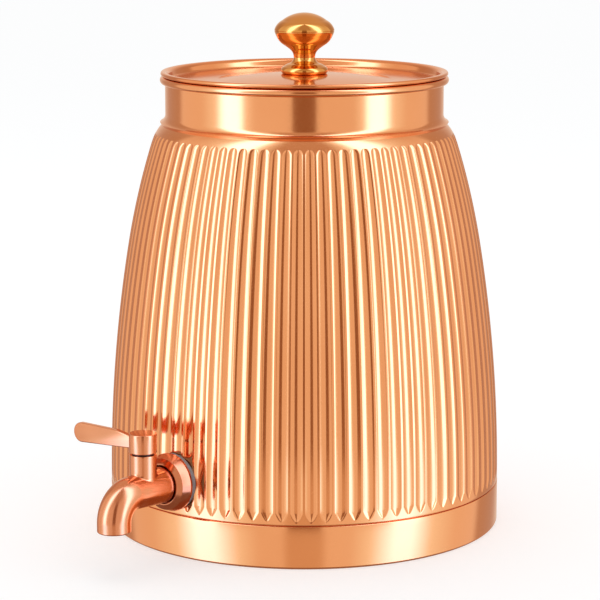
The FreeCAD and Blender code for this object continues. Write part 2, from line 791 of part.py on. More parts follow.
def make_tap_body():
    body = new_body("tap_body")
    at_valve(body)
    pipe = new_sketch(body, "pipe_section", "YZ_Plane")
    outline(
        pipe,
        (
            (-bend_start, 0),
            (shank_end, 0),
            (shank_end, dims.shank_radius),
            (body_shoulder, dims.shank_radius),
            (body_shoulder, dims.pipe_radius),
            (-bend_start, dims.spout_radius),
        ),
    )
    turned(body, "pipe", pipe, "H_Axis")
    bend = new_sketch(body, "bend_section", "XZ_Plane", bend_start)
    circle(bend, 0, 0, dims.spout_radius)
    level_axis(bend, -dims.bend_radius, 10.0)
    turned(body, "bend", bend, "Axis0", 90)
    outlet = new_sketch(body, "outlet_section", "XY_Plane", -dims.bend_radius)
    circle(outlet, 0, -dims.spout_reach, dims.spout_radius)
    raised(body, "outlet", outlet, dims.outlet_length, reverse=True)
    boss = new_sketch(body, "bonnet_section", "XY_Plane")
    circle(boss, 0, 0, dims.bonnet_radius)
    raised(body, "bonnet", boss, dims.bonnet_height)
    bonnet = dims.bonnet_radius.number
    above_pipe = dims.spout_radius.number * 0.5

    def foot_of_bonnet(edge):
        box = edge.BoundBox
        middle = edge.valueAt((edge.FirstParameter + edge.LastParameter) / 2)
        radius = math.hypot(middle.x, middle.y)
        low_enough = box.ZMax < dims.pipe_radius.number + 1e-3
        return abs(radius - bonnet) < 0.05 and middle.z > above_pipe and low_enough

    dressed(body, "Fillet", "bonnet_blend", foot_of_bonnet, dims.bonnet_blend)
    outlet_low = -(dims.bend_radius + dims.outlet_length).number

    def lip(edge):
        return abs(edge.BoundBox.ZMin - outlet_low) < 1e-4 and edge.BoundBox.ZLength < 1e-4

    dressed(body, "Chamfer", "outlet_lip", lip, dims.lip_bevel)
    front = bend_start - dims.chamber_wall
    water = new_sketch(body, "waterway_section", "YZ_Plane")
    outline(
        water,
        (
            (-bend_start, 0),
            (shank_end, 0),
            (shank_end, dims.inlet_bore),
            (dims.port_radius, dims.inlet_bore),
            (dims.port_radius, dims.port_radius),
            (-(dims.chamber_radius + dims.chamber_wall), dims.port_radius),
            (-(dims.chamber_radius + dims.chamber_wall), dims.spout_bore),
            (-bend_start, dims.spout_bore),
        ),
    )
    turned(body, "waterway", water, "H_Axis", adds=False)
    bore = new_sketch(body, "bend_bore_section", "XZ_Plane", bend_start)
    circle(bore, 0, 0, dims.spout_bore)
    level_axis(bore, -dims.bend_radius, 10.0)
    turned(body, "bend_bore", bore, "Axis0", 90, adds=False)
    mouth = new_sketch(body, "mouth_section", "XY_Plane", -dims.bend_radius)
    circle(mouth, 0, -dims.spout_reach, dims.spout_bore)
    cut_out(body, "mouth", mouth, dims.outlet_length)
    chamber = new_sketch(body, "chamber_section", "XY_Plane", dims.bonnet_height)
    circle(chamber, 0, 0, dims.chamber_radius)
    cut_out(body, "chamber", chamber, dims.bonnet_height + dims.chamber_depth)
    return body


def make_tap_flange():
    body = new_body("tap_flange")
    at_valve(body)
    well = dims.pipe_radius + dims.flange_ring_gap
    section = new_sketch(body, "flange_section", "YZ_Plane")
    outline(
        section,
        (
            (body_shoulder, shank_hole),
            (flange_back, shank_hole),
            (flange_back, dims.flange_radius),
            (flange_back - dims.flange_edge, dims.flange_radius),
            (flange_front + dims.flange_front_depth, dims.flange_ridge_radius),
            (flange_front, well + dims.flange_land),
            (flange_front, well),
            (body_shoulder, well),
        ),
    )
    turned(body, "flange_turned", section, "H_Axis")
    return body


def along_tap(name, radius, start, finish):
    """A cylinder on the tap's axis between two places, as a plain primitive."""
    item = doc.addObject("Part::Cylinder", name)
    bind(item, "Radius", radius)
    bind(item, "Height", finish - start)
    item.Placement = FreeCAD.Placement(
        Vector(0, (start - valve_reach).number, dims.tap_height.number),
        FreeCAD.Rotation(Vector(1, 0, 0), -90),
    )
    bind(item, "Placement.Base.y", start - valve_reach)
    bind(item, "Placement.Base.z", dims.tap_height)
    return item


def boolean(kind, name, base, tool):
    item = doc.addObject("Part::" + kind, name)
    item.Base = base
    item.Tool = tool
    return item


def make_outer_gasket():
    """Soft ring, flat on the flange and saddle-shaped on the barrel."""
    deep = flange_back + dims.gasket_bed * 3
    disc = along_tap("gasket_disc", dims.flange_radius - dims.gasket_inset, flange_back, deep)
    hole = along_tap("gasket_hole", shank_hole, flange_back - 1, deep + 1)
    ring = boolean("Cut", "gasket_ring", disc, hole)
    item = boolean("Cut", "outer_gasket", ring, outer_form)
    item.Label = "outer_gasket"
    return item


def make_inner_gasket():
    """Soft ring, flat on the washer and rounded into the inside of the barrel."""
    front = washer_front - dims.inner_bed * 2
    disc = along_tap("inner_disc", dims.washer_radius, front, washer_front)
    hole = along_tap("inner_hole", shank_hole, front - 1, washer_front + 1)
    ring = boolean("Cut", "inner_ring", disc, hole)
    item = boolean("Common", "inner_gasket", ring, inner_form)
    item.Label = "inner_gasket"
    return item


def make_inner_washer():
    body = new_body("inner_washer")
    at_valve(body)
    turned_ring(
        body, shank_hole, dims.washer_radius, washer_front, nut_front, "YZ_Plane", "H_Axis"
    )
    return body


def make_lock_nut():
    body = new_body("lock_nut")
    at_valve(body)
    back = nut_front + dims.nut_thickness
    corner = dims.nut_flats / math.cos(math.pi / 6) / 2
    half = dims.nut_flats / 2
    section = new_sketch(body, "nut_section", "XZ_Plane", -nut_front)
    outline(
        section,
        (
            (half, -corner / 2),
            (half, corner / 2),
            (0, corner),
            (-half, corner / 2),
            (-half, -corner / 2),
            (0, -corner),
        ),
    )
    raised(body, "nut_blank", section, dims.nut_thickness, reverse=True)
    bore = new_sketch(body, "nut_bore_section", "YZ_Plane")
    outline(bore, ((nut_front, 0), (back, 0), (back, shank_hole), (nut_front, shank_hole)))
    turned(body, "nut_bore", bore, "H_Axis", adds=False)
    bevel = (corner - half) * 0.6
    edge = new_sketch(body, "nut_bevel_section", "YZ_Plane")
    outline(edge, ((back - bevel, corner), (back, half), (back, corner)))
    turned(body, "nut_bevel", edge, "H_Axis", adds=False)
    return body


# Valve and lever: places along the valve's axis, measured up from the tap's axis

plug_radius = dims.chamber_radius - dims.plug_clearance
plug_bottom = -(dims.chamber_depth - dims.plug_float)
thrust_low = dims.plug_height + dims.plug_float
gland_low = thrust_low + dims.thrust_thickness
stem_hole = dims.stem_radius + dims.plug_clearance
cap_low = dims.bonnet_height + dims.gland_collar + dims.cap_gap
groove_floor = plug_radius - dims.ring_radius * 2


def make_valve_plug():
    body = new_body("valve_plug")
    at_valve(body)
    section = new_sketch(body, "plug_section", "XZ_Plane")
    square_low = dims.bonnet_height
    points = [(0, plug_bottom), (plug_radius, plug_bottom)]
    for row in (0, 1):
        middle = dims.ring_height + dims.ring_pitch * row
        low = middle - dims.ring_groove_width / 2
        high = middle + dims.ring_groove_width / 2
        points += [
            (plug_radius, low),
            (groove_floor, low),
            (groove_floor, high),
            (plug_radius, high),
        ]
    points += [
        (plug_radius, dims.plug_height),
        (dims.stem_radius, dims.plug_height),
        (dims.stem_radius, square_low),
        (0, square_low),
    ]
    outline(section, points)
    turned(body, "plug_turned", section)
    drive = new_sketch(body, "square_section", "XY_Plane", square_low)
    half = dims.square_size / 2
    outline(drive, ((-half, -half), (half, -half), (half, half), (-half, half)))
    raised(body, "square", drive, dims.square_top - square_low)
    port = new_sketch(body, "port_section", "YZ_Plane")
    circle(port, 0, 0, dims.port_radius)
    cut_out(body, "port", port, dims.chamber_radius * 3, both_ways=True)
    return body


def make_plug_orings():
    body = new_body("plug_orings")
    at_valve(body)
    middle = plug_radius - dims.ring_radius - dims.plug_clearance / 2
    for row in (0, 1):
        section = new_sketch(body, "oring_section%d" % row, "XZ_Plane")
        height = dims.ring_height + dims.ring_pitch * row
        outline(section, around(middle, height, dims.ring_radius - dims.plug_clearance / 2, 4))
        turned(body, "oring%d" % row, section)
    return body


def make_stem_washer():
    body = new_body("stem_washer")
    at_valve(body)
    turned_ring(body, stem_hole, plug_radius, thrust_low, gland_low)
    return body


def make_gland_nut():
    body = new_body("gland_nut")
    at_valve(body)
    outer = dims.chamber_radius - dims.thread_clearance
    top = dims.bonnet_height + dims.gland_collar
    section = new_sketch(body, "gland_section", "XZ_Plane")
    outline(
        section,
        (
            (stem_hole, gland_low),
            (outer, gland_low),
            (outer, dims.bonnet_height),
            (dims.gland_collar_radius, dims.bonnet_height),
            (dims.gland_collar_radius, top),
            (stem_hole, top),
        ),
    )
    turned(body, "gland_turned", section)
    return body


def make_port_seal():
    """Soft ring in the inlet whose front is hollowed to the plug."""
    disc = along_tap(
        "seal_disc",
        dims.inlet_bore - dims.thread_clearance,
        dims.port_radius + dims.seal_gap,
        dims.seal_length,
    )
    hole = along_tap("seal_hole", dims.seal_bore, dims.port_radius - 1, dims.seal_length + 1)
    ring = boolean("Cut", "seal_ring", disc, hole)
    swept = doc.addObject("Part::Cylinder", "plug_space")
    bind(swept, "Radius", plug_radius + dims.seal_gap)
    bind(swept, "Height", dims.chamber_depth * 2)
    low = dims.tap_height - dims.chamber_depth
    swept.Placement = FreeCAD.Placement(
        Vector(0, -valve_reach.number, low.number), FreeCAD.Rotation()
    )
    bind(swept, "Placement.Base.y", -valve_reach)
    bind(swept, "Placement.Base.z", low)
    item = boolean("Cut", "port_seal", ring, swept)
    item.Label = "port_seal"
    return item


def make_seat_sleeve():
    body = new_body("seat_sleeve")
    at_valve(body)
    turned_ring(
        body,
        dims.sleeve_bore,
        dims.inlet_bore - dims.thread_clearance,
        dims.seal_length,
        dims.seal_length + dims.sleeve_length,
        "YZ_Plane",
        "H_Axis",
    )
    return body


def make_lever_cap():
    body = new_body("lever_cap")
    at_valve(body)
    top = cap_low + dims.cap_height
    chamfer = dims.cap_chamfer
    section = new_sketch(body, "cap_section", "XZ_Plane")
    outline(
        section,
        (
            (0, cap_low),
            (dims.cap_radius - chamfer, cap_low),
            (dims.cap_radius, cap_low + chamfer),
            (dims.cap_radius, top - chamfer),
            (dims.cap_radius - chamfer, top),
            (0, top),
        ),
    )
    turned(body, "cap_turned", section)
    socket = new_sketch(body, "socket_section", "XY_Plane", cap_low)
    half = dims.square_size / 2 + dims.square_clearance
    outline(socket, ((-half, -half), (half, -half), (half, half), (-half, half)))
    depth = dims.square_top - cap_low + dims.plug_float
    cut_out(body, "socket", socket, depth, reverse=True)
    slot = new_sketch(body, "slot_section", "XZ_Plane")
    outer = -(dims.cap_radius + 1)
    gap = dims.square_clearance
    outline(
        slot,
        (
            (outer, blade_bottom_at(dims.cap_radius) - gap),
            (gap - dims.blade_root, blade_bottom_at(dims.cap_radius) - gap),
            (gap - dims.blade_root, blade_top_at(dims.cap_radius) + gap),
            (outer, blade_top_at(dims.cap_radius) + gap),
        ),
    )
    cut_out(body, "blade_slot", slot, dims.blade_thickness + gap * 2, both_ways=True)
    hole = new_sketch(body, "grub_hole_section", "XZ_Plane")
    circle(hole, 0, dims.grub_height, dims.grub_radius + dims.thread_clearance)
    cut_out(body, "grub_hole", hole, dims.cap_radius + 1)
    return body


def blade_top_at(reach):
    """Height of the blade's upper edge at a distance from the valve's axis, near the root."""
    share = (reach - dims.blade_root) / (dims.blade_kink - dims.blade_root)
    return dims.blade_root_top + (dims.blade_kink_top - dims.blade_root_top) * share


def blade_bottom_at(reach):
    """Height of the blade's lower edge at a distance from the valve's axis."""
    run = dims.blade_reach - dims.blade_tip_radius - dims.blade_root
    fall = dims.blade_root_bottom - (dims.blade_tip_height - dims.blade_tip_radius)
    return dims.blade_root_bottom - fall * (reach - dims.blade_root) / run


def make_lever_blade():
    body = new_body("lever_blade")
    at_valve(body)
    tip = dims.blade_tip_radius - dims.blade_reach
    section = new_sketch(body, "blade_section", "XZ_Plane")
    outline(
        section,
        (
            (-dims.blade_root, dims.blade_root_bottom),
            (-dims.blade_root, dims.blade_root_top),
            (-dims.blade_kink, dims.blade_kink_top),
            (tip, dims.blade_tip_height + dims.blade_tip_radius),
            (-dims.blade_reach, dims.blade_tip_height),
            (tip, dims.blade_tip_height - dims.blade_tip_radius),
        ),
        {3: dims.blade_tip_radius, 4: dims.blade_tip_radius},
    )
    raised(body, "blade_plate", section, dims.blade_thickness, both_ways=True)
    face = dims.blade_thickness.number / 2
    outside_cap = -dims.cap_radius.number

    def long_edge(edge):
        box = edge.BoundBox
        flat = box.YLength < 1e-4 and abs(abs(box.YMax) - face) < 1e-4
        return flat and box.XMin < outside_cap

    dressed(body, "Chamfer", "blade_bevel", long_edge, dims.blade_edge)
    return body


def make_lever_screw():
    body = new_body("lever_screw")
    at_valve(body)
    start = dims.square_size / 2
    finish = dims.cap_radius - dims.grub_inset
    section = new_sketch(body, "grub_section", "XZ_Plane", -finish)
    circle(section, 0, dims.grub_height, dims.grub_radius)
    raised(body, "grub", section, finish - start)
    key = new_sketch(body, "key_section", "XZ_Plane", -finish)
    half = dims.grub_radius / 2
    corner = half / math.cos(math.pi / 6)
    outline(
        key,
        (
            (half, dims.grub_height - corner / 2),
            (half, dims.grub_height + corner / 2),
            (0, dims.grub_height + corner),
            (-half, dims.grub_height + corner / 2),
            (-half, dims.grub_height - corner / 2),
            (0, dims.grub_height - corner),
        ),
    )
    cut_out(body, "key", key, dims.grub_radius, reverse=True)
    return body


# Lid and knob

def make_lid_pan():
    body = new_body("lid_pan")
    rest = dims.rim_height + dims.lid_gap
    middle = rest + dims.lid_roll
    top = middle + dims.lid_roll
    sheet = dims.lid_sheet
    floor = dims.lid_floor_height
    seat = floor + dims.lid_dome_rise
    hole = dims.screw_radius + dims.screw_clearance
    wall_inside = dims.lid_wall_radius
    wall_outside = wall_inside + sheet
    outer_turn = dims.lid_floor_round + sheet
    land_low = top - dims.lid_land_drop
    flat = dims.lid_roll * math.tan(math.pi / 8)
    points = (
        (hole, seat - sheet),
        (dims.lid_seat_radius, seat - sheet),
        (dims.lid_dome_radius, floor - sheet),
        (wall_outside - outer_turn, floor - sheet),
        (wall_outside, floor - sheet + outer_turn),
        (wall_outside, rest),
        (dims.lid_overhang + flat, rest),
        (dims.lid_overhang + dims.lid_roll, middle - flat),
        (dims.lid_overhang + dims.lid_roll, middle + flat),
        (dims.lid_overhang + flat, top),
        (wall_inside + dims.lid_wall_round, land_low),
        (wall_inside, land_low - dims.lid_wall_round),
        (wall_inside, floor + dims.lid_floor_round),
        (wall_inside - dims.lid_floor_round, floor),
        (dims.lid_dome_radius, floor),
        (dims.lid_seat_radius, seat),
        (hole, seat),
    )
    arcs = {3: outer_turn, 10: dims.lid_wall_round, 12: -dims.lid_floor_round}
    section = new_sketch(body, "pan_section", "XZ_Plane")
    outline(section, chorded(points, arcs))
    turned(body, "pan_turned", section)
    return body


def make_lid_skirt():
    body = new_body("lid_skirt")
    outer = dims.neck_radius - dims.wall - dims.skirt_radius_gap
    inner = outer - dims.skirt_sheet
    top = dims.lid_floor_height - dims.lid_sheet
    under = top - dims.skirt_sheet
    low = top - dims.skirt_depth
    section = new_sketch(body, "skirt_section", "XZ_Plane")
    outline(
        section,
        (
            (outer - dims.skirt_flange, under),
            (inner, under),
            (inner, low),
            (outer, low),
            (outer, top),
            (outer - dims.skirt_flange, top),
        ),
    )
    turned(body, "skirt_turned", section)
    return body


def make_knob():
    body = new_body("knob")
    at_lid_floor(body)
    bore = dims.screw_radius + dims.thread_clearance
    bore_top = dims.screw_reach + 1
    collar_low = dims.knob_collar_height - dims.knob_collar_band / 2
    collar_high = dims.knob_collar_height + dims.knob_collar_band / 2
    collar_neck = dims.knob_collar_radius - dims.knob_collar_band / 2
    crown_rise = dims.knob_height - dims.knob_crown_height
    crown_span = dims.knob_crown_radius * dims.knob_crown_radius + crown_rise * crown_rise
    points = (
        (bore, 0),
        (dims.knob_foot_base, 0),
        (dims.knob_foot_radius, dims.knob_foot_middle),
        (dims.knob_foot_lip, dims.knob_foot_top),
        (dims.knob_waist_radius, dims.knob_waist_height),
        (collar_neck, collar_low),
        (dims.knob_collar_radius, dims.knob_collar_height),
        (collar_neck, collar_high),
        (dims.knob_bowl_radius, dims.knob_bowl_height),
        (dims.knob_head_radius, dims.knob_head_height),
        (dims.knob_crown_radius, dims.knob_crown_height),
        (0, dims.knob_height),
        (0, bore_top),
        (bore, bore_top),
    )
    arcs = {
        3: -(dims.knob_waist_height - dims.knob_foot_top) * 1.15,
        7: dims.knob_bowl_radius * 1.4,
        8: dims.knob_bowl_radius * 0.75,
        9: dims.knob_head_radius * 0.52,
        10: crown_span / crown_rise / 2,
    }
    section = new_sketch(body, "knob_section", "XZ_Plane")
    outline(section, chorded(points, arcs))
    turned(body, "knob_turned", section)
    return body


def make_knob_screw():
    body = new_body("knob_screw")
    at_lid_floor(body)
    bearing = -(dims.lid_sheet + dims.knob_washer_thickness)
    low = bearing - dims.screw_head_height
    section = new_sketch(body, "screw_section", "XZ_Plane")
    outline(
        section,
        (
            (0, low),
            (dims.screw_head_radius - dims.screw_head_height / 3, low),
            (dims.screw_head_radius, bearing - dims.screw_head_height / 2),
            (dims.screw_head_radius, bearing),
            (dims.screw_radius, bearing),
            (dims.screw_radius, dims.screw_reach),
            (0, dims.screw_reach),
        ),
    )
    turned(body, "screw_turned", section)
    return body


def make_knob_washer():
    body = new_body("knob_washer")
    at_lid_floor(body)
    turned_ring(
        body,
        dims.screw_radius + dims.screw_clearance,
        dims.knob_washer_radius,
        -(dims.lid_sheet + dims.knob_washer_thickness),
        -dims.lid_sheet,
    )
    return body


# Build every piece, check it and write it

PIECES = (
    make_barrel(),
    make_bottom_disc(),
    make_base_band(),
    make_tap_body(),
    make_tap_flange(),
    make_outer_gasket(),
    make_inner_gasket(),
    make_inner_washer(),
    make_lock_nut(),
    make_port_seal(),
    make_seat_sleeve(),
    make_stem_washer(),
    make_gland_nut(),
    make_valve_plug(),
    make_plug_orings(),
    make_lever_cap(),
    make_lever_blade(),
    make_lever_screw(),
    make_lid_pan(),
    make_lid_skirt(),
    make_knob(),
    make_knob_screw(),
    make_knob_washer(),
)
doc.recompute()


def check_document():
    for item in doc.Objects:
        if "Invalid" in item.State or "Error" in item.State:
            raise RuntimeError("%s did not build: %s" % (item.Name, item.getStatusString()))
        if hasattr(item, "AddsMetal"):
            before = item.BaseFeature.Shape.Volume if item.BaseFeature else 0.0
            gained = item.Shape.Volume - before
            if (gained > 0) != item.AddsMetal:
                raise RuntimeError("%s changed nothing or the wrong way" % item.Name)
    for piece in PIECES:
        if piece.Shape.isNull() or not piece.Shape.isValid():
            raise RuntimeError("%s has no valid shape" % piece.Label)


check_document()
os.makedirs("parts", exist_ok=True)
for piece in PIECES:
    piece.Shape.exportStep("parts/%s.step" % piece.Label)
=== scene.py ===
import math

import bmesh
import bpy
import numpy as np
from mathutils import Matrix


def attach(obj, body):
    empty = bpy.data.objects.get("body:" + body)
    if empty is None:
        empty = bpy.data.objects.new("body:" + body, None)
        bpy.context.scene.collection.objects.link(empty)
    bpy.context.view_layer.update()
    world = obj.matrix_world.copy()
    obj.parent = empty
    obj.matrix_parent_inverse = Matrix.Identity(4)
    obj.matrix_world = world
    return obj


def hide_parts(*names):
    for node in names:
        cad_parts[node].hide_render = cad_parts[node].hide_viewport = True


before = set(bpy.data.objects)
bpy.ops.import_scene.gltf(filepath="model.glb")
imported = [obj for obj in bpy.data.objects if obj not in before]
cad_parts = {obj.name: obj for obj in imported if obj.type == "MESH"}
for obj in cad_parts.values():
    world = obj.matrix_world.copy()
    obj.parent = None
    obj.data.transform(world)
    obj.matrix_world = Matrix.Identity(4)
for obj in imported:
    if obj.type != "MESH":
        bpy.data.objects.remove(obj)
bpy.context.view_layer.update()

# The object's lengths are millimetres until a mesh is made
MM = 0.001
WELD_DISTANCE = 2e-6

# Sizes shared with the part: radii, heights over the floor, and y towards the back
BAND_R = 120.0
BAND_TOP = 25.6
BAND_HEM = 8.2
SEAM_Z = 26.0
SKIRT_R = 118.7
SKIRT_Z = 7.0
BELLY_R = 119.85
SHOULDER_R = 92.7
SHOULDER_Z = 235.0
SHOULDER_LEAN = math.radians(17.6)
SHOULDER_ROUND = 28.0
SIDE_BALANCE = 2.4
WALL = 1.2
NECK_R = 84.4
FILLET = 2.2
RIM_Z = 274.9
BEAD = 2.3
BEAD_X = 85.2
FLUTES = 88
FLUTE_LOW = 28.5
FLUTE_HIGH = 240.6
VALVE_Y = -144.8
TAP_Z = 45.6

# Radius of a row that closes on an axis
AXIS_R = 0.01


# Mesh tools

def add_item(name, data):
    item = bpy.data.objects.new(name, data)
    bpy.context.scene.collection.objects.link(item)
    return item


def add_piece(name, mesh, body, material, node):
    """A visible piece that rides on a body and stands for a CAD node."""
    item = add_item(name, mesh)
    mesh.materials.append(material)
    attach(item, body)
    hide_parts(node)


def finish_mesh(mesh, sharp):
    """Smooth shading, with sharp edges from an angle in degrees."""
    mesh.polygons.foreach_set("use_smooth", [True] * len(mesh.polygons))
    mesh.set_sharp_from_angle(angle=math.radians(sharp))
    return mesh


def grid_mesh(name, points, loop_rows, sharp=40, weld=True):
    """A mesh from rows of points; each row is closed, and the rows close too if loop_rows."""
    rows, columns = points.shape[:2]
    mesh = bpy.data.meshes.new(name)
    row = np.arange(rows if loop_rows else rows - 1)[:, None]
    column = np.arange(columns)[None, :]
    after_row = (row + 1) % rows
    after_column = (column + 1) % columns
    quads = np.stack(
        [
            row * columns + column,
            row * columns + after_column,
            after_row * columns + after_column,
            after_row * columns + column,
        ],
        axis=-1,
    ).reshape(-1, 4)
    mesh.vertices.add(rows * columns)
    mesh.vertices.foreach_set("co", (points.reshape(-1) * MM).astype(np.float32))
    mesh.loops.add(quads.size)
    mesh.loops.foreach_set("vertex_index", quads.reshape(-1).astype(np.int32))
    mesh.polygons.add(len(quads))
    mesh.polygons.foreach_set("loop_start", np.arange(len(quads), dtype=np.int32) * 4)
    mesh.update(calc_edges=True)
    if weld:
        shape = bmesh.new()
        shape.from_mesh(mesh)
        bmesh.ops.remove_doubles(shape, verts=shape.verts, dist=WELD_DISTANCE)
        bmesh.ops.recalc_face_normals(shape, faces=shape.faces)
        shape.to_mesh(mesh)
        shape.free()
    return finish_mesh(mesh, sharp)


def ring(x, y, z):
    """One row of points; x, y and z are arrays, or one number where all points share it."""
    return np.stack(np.broadcast_arrays(x, y, z), axis=-1)


def half_turn(angle):
    """The same angle between minus and plus half a turn."""
    return (angle + math.pi) % (2 * math.pi) - math.pi


def rounded(corners, steps=6):
    """A closed outline through corners (x, y, radius), with arcs of that radius in the corners."""
    result = []
    count = len(corners)
    for index in range(count):
        x, y, radius = corners[index]
        here = np.array((x, y), float)
        if radius <= 0:
            result.append(here)
            continue
        before = np.array(corners[index - 1][:2], float) - here
        after = np.array(corners[(index + 1) % count][:2], float) - here
        before /= np.linalg.norm(before)
        after /= np.linalg.norm(after)
        half = math.acos(max(-1.0, min(1.0, float(before @ after)))) / 2
        back = radius / math.tan(half)
        middle = before + after
        middle /= np.linalg.norm(middle)
        centre = here + middle * radius / math.sin(half)
        first = here + before * back - centre
        last = here + after * back - centre
        start = math.atan2(first[1], first[0])
        sweep = half_turn(math.atan2(last[1], last[0]) - start)
        for step in range(steps + 1):
            angle = start + sweep * step / steps
            result.append(centre + radius * np.array((math.cos(angle), math.sin(angle))))
    return np.array(result)


def arc(x, y, radius, start, finish, steps):
    """Points on an arc about (x, y), from one angle in degrees to another."""
    angles = np.radians(np.linspace(start, finish, steps + 1))
    return np.stack([x + radius * np.cos(angles), y + radius * np.sin(angles)], axis=1)


def bow(first, last, radius, steps):
    """Points on an arc from first to last; the radius is positive where it bulges to the right."""
    first = np.array(first, float)
    last = np.array(last, float)
    chord = last - first
    length = np.linalg.norm(chord)
    across = np.array((chord[1], -chord[0])) / length
    depth = math.sqrt(radius * radius - length * length / 4)
    centre = (first + last) / 2 - across * math.copysign(depth, radius)
    start = math.atan2(*(first - centre)[::-1])
    sweep = half_turn(math.atan2(*(last - centre)[::-1]) - start)
    angles = math.degrees(start), math.degrees(start + sweep)
    return arc(centre[0], centre[1], abs(radius), *angles, steps)


def turned_points(outline, sides, axis="z", place=(0, 0, 0)):
    """Rows for an outline of (radius, length) turned about an axis through a place."""
    angles = np.linspace(0, 2 * math.pi, sides, endpoint=False)
    radius = outline[:, 0][:, None]
    along = np.repeat(outline[:, 1][:, None], sides, axis=1)
    one = radius * np.cos(angles)[None, :]
    two = radius * np.sin(angles)[None, :]
    parts = [one, two, along] if axis == "z" else [one, along, two]
    return np.stack(parts, axis=-1) + np.array(place, float)


# Materials

# The middle range of a noise, which colour and gloss are spread over
NOISE_LOW = 0.35
NOISE_HIGH = 0.65
SOFT_GRAIN = 400.0


def node_tree(name):
    material = bpy.data.materials.new(name)
    material.use_nodes = True
    tree = material.node_tree
    return material, tree, tree.nodes["Principled BSDF"]


def link(tree, source, output, target, socket):
    tree.links.new(source.outputs[output], target.inputs[socket])


def noise(tree, scale, detail):
    place = tree.nodes.new("ShaderNodeTexCoord")
    texture = tree.nodes.new("ShaderNodeTexNoise")
    texture.inputs["Scale"].default_value = scale
    texture.inputs["Detail"].default_value = detail
    link(tree, place, "Object", texture, "Vector")
    return texture


def spread(tree, source, low, high):
    """Map a noise's middle range to low..high."""
    item = tree.nodes.new("ShaderNodeMapRange")
    item.inputs["From Min"].default_value = NOISE_LOW
    item.inputs["From Max"].default_value = NOISE_HIGH
    item.inputs["To Min"].default_value = low
    item.inputs["To Max"].default_value = high
    link(tree, source, "Fac", item, "Value")
    return item


def tint(tree, source, first, second):
    """Map a noise's middle range to the tones between two colours."""
    ramp = tree.nodes.new("ShaderNodeValToRGB")
    ends = ((NOISE_LOW, first), (NOISE_HIGH, second))
    for stop, (position, colour) in zip(ramp.color_ramp.elements, ends):
        stop.position = position
        stop.color = (*colour, 1)
    link(tree, source, "Fac", ramp, "Fac")
    return ramp


def bump(tree, shader, source, distance):
    item = tree.nodes.new("ShaderNodeBump")
    item.inputs["Distance"].default_value = distance
    item.inputs["Strength"].default_value = 1.0
    link(tree, source, "Fac", item, "Height")
    link(tree, item, "Normal", shader, "Normal")


def metal(name, first, second, rough, fine, relief, patch=14.0, grain=900.0):
    """A metal whose tone wanders slowly, with a fine grain in its gloss and its surface."""
    material, tree, shader = node_tree(name)
    shader.inputs["Metallic"].default_value = 1.0
    colour = tint(tree, noise(tree, patch, detail=2.0), first, second)
    link(tree, colour, "Color", shader, "Base Color")
    fine_noise = noise(tree, grain, detail=2.0)
    gloss = spread(tree, fine_noise, rough - fine, rough + fine)
    link(tree, gloss, "Result", shader, "Roughness")
    bump(tree, shader, fine_noise, relief)
    return material


def soft(name, first, second, rough, relief):
    """A dull material with a fine grain in its tone and its surface."""
    material, tree, shader = node_tree(name)
    grain_noise = noise(tree, SOFT_GRAIN, detail=3.0)
    colour = tint(tree, grain_noise, first, second)
    link(tree, colour, "Color", shader, "Base Color")
    shader.inputs["Roughness"].default_value = rough
    bump(tree, shader, grain_noise, relief)
    return material


# Metals: two tones, roughness and its spread, and the relief of the grain in metres
TAP_FINISH = {"rough": 0.17, "fine": 0.03, "relief": 2e-6, "patch": 40.0, "grain": 2200.0}
FLANGE_FINISH = {**TAP_FINISH, "rough": 0.18}
copper = metal("copper_body", (0.88, 0.375, 0.150), (0.92, 0.405, 0.168), 0.13, 0.02, 2e-6)
copper_lid = metal("copper_lid", (0.84, 0.315, 0.115), (0.89, 0.350, 0.132), 0.12, 0.02, 2e-6)
copper_inside = metal(
    "copper_inside", (0.78, 0.31, 0.13), (0.86, 0.36, 0.15), 0.30, 0.05, 4e-6
)
copper_tap = metal("copper_tap", (0.74, 0.285, 0.130), (0.81, 0.325, 0.150), **TAP_FINISH)
# Flange: the tap's copper made darker, as painted shade for how dark the flange looks in its place
copper_flange_shaded = metal(
    "copper_flange_shaded", (0.60, 0.195, 0.085), (0.67, 0.230, 0.100), **FLANGE_FINISH
)
brass = metal("brass_polished", (0.72, 0.31, 0.07), (0.79, 0.365, 0.09), 0.05, 0.015, 1e-6)
brass_plain = metal("brass_plain", (0.66, 0.42, 0.15), (0.74, 0.48, 0.19), 0.34, 0.05, 5e-6)
# Gland nut: brass coloured near black, as painted shade for the shadowed gap between bonnet and
# cap
painted_shade_collar = metal(
    "painted_shade_collar", (0.055, 0.035, 0.026), (0.075, 0.045, 0.032), 0.42, 0.05, 4e-6
)
steel = metal("steel", (0.60, 0.60, 0.61), (0.70, 0.70, 0.71), 0.30, 0.05, 5e-6)
silicone = soft("silicone_grey", (0.26, 0.26, 0.27), (0.32, 0.32, 0.33), 0.62, 1e-5)
rubber = soft("rubber_black", (0.02, 0.02, 0.02), (0.035, 0.035, 0.035), 0.55, 1e-5)
ptfe = soft("ptfe", (0.82, 0.82, 0.80), (0.88, 0.88, 0.86), 0.45, 6e-6)


# Side of the barrel

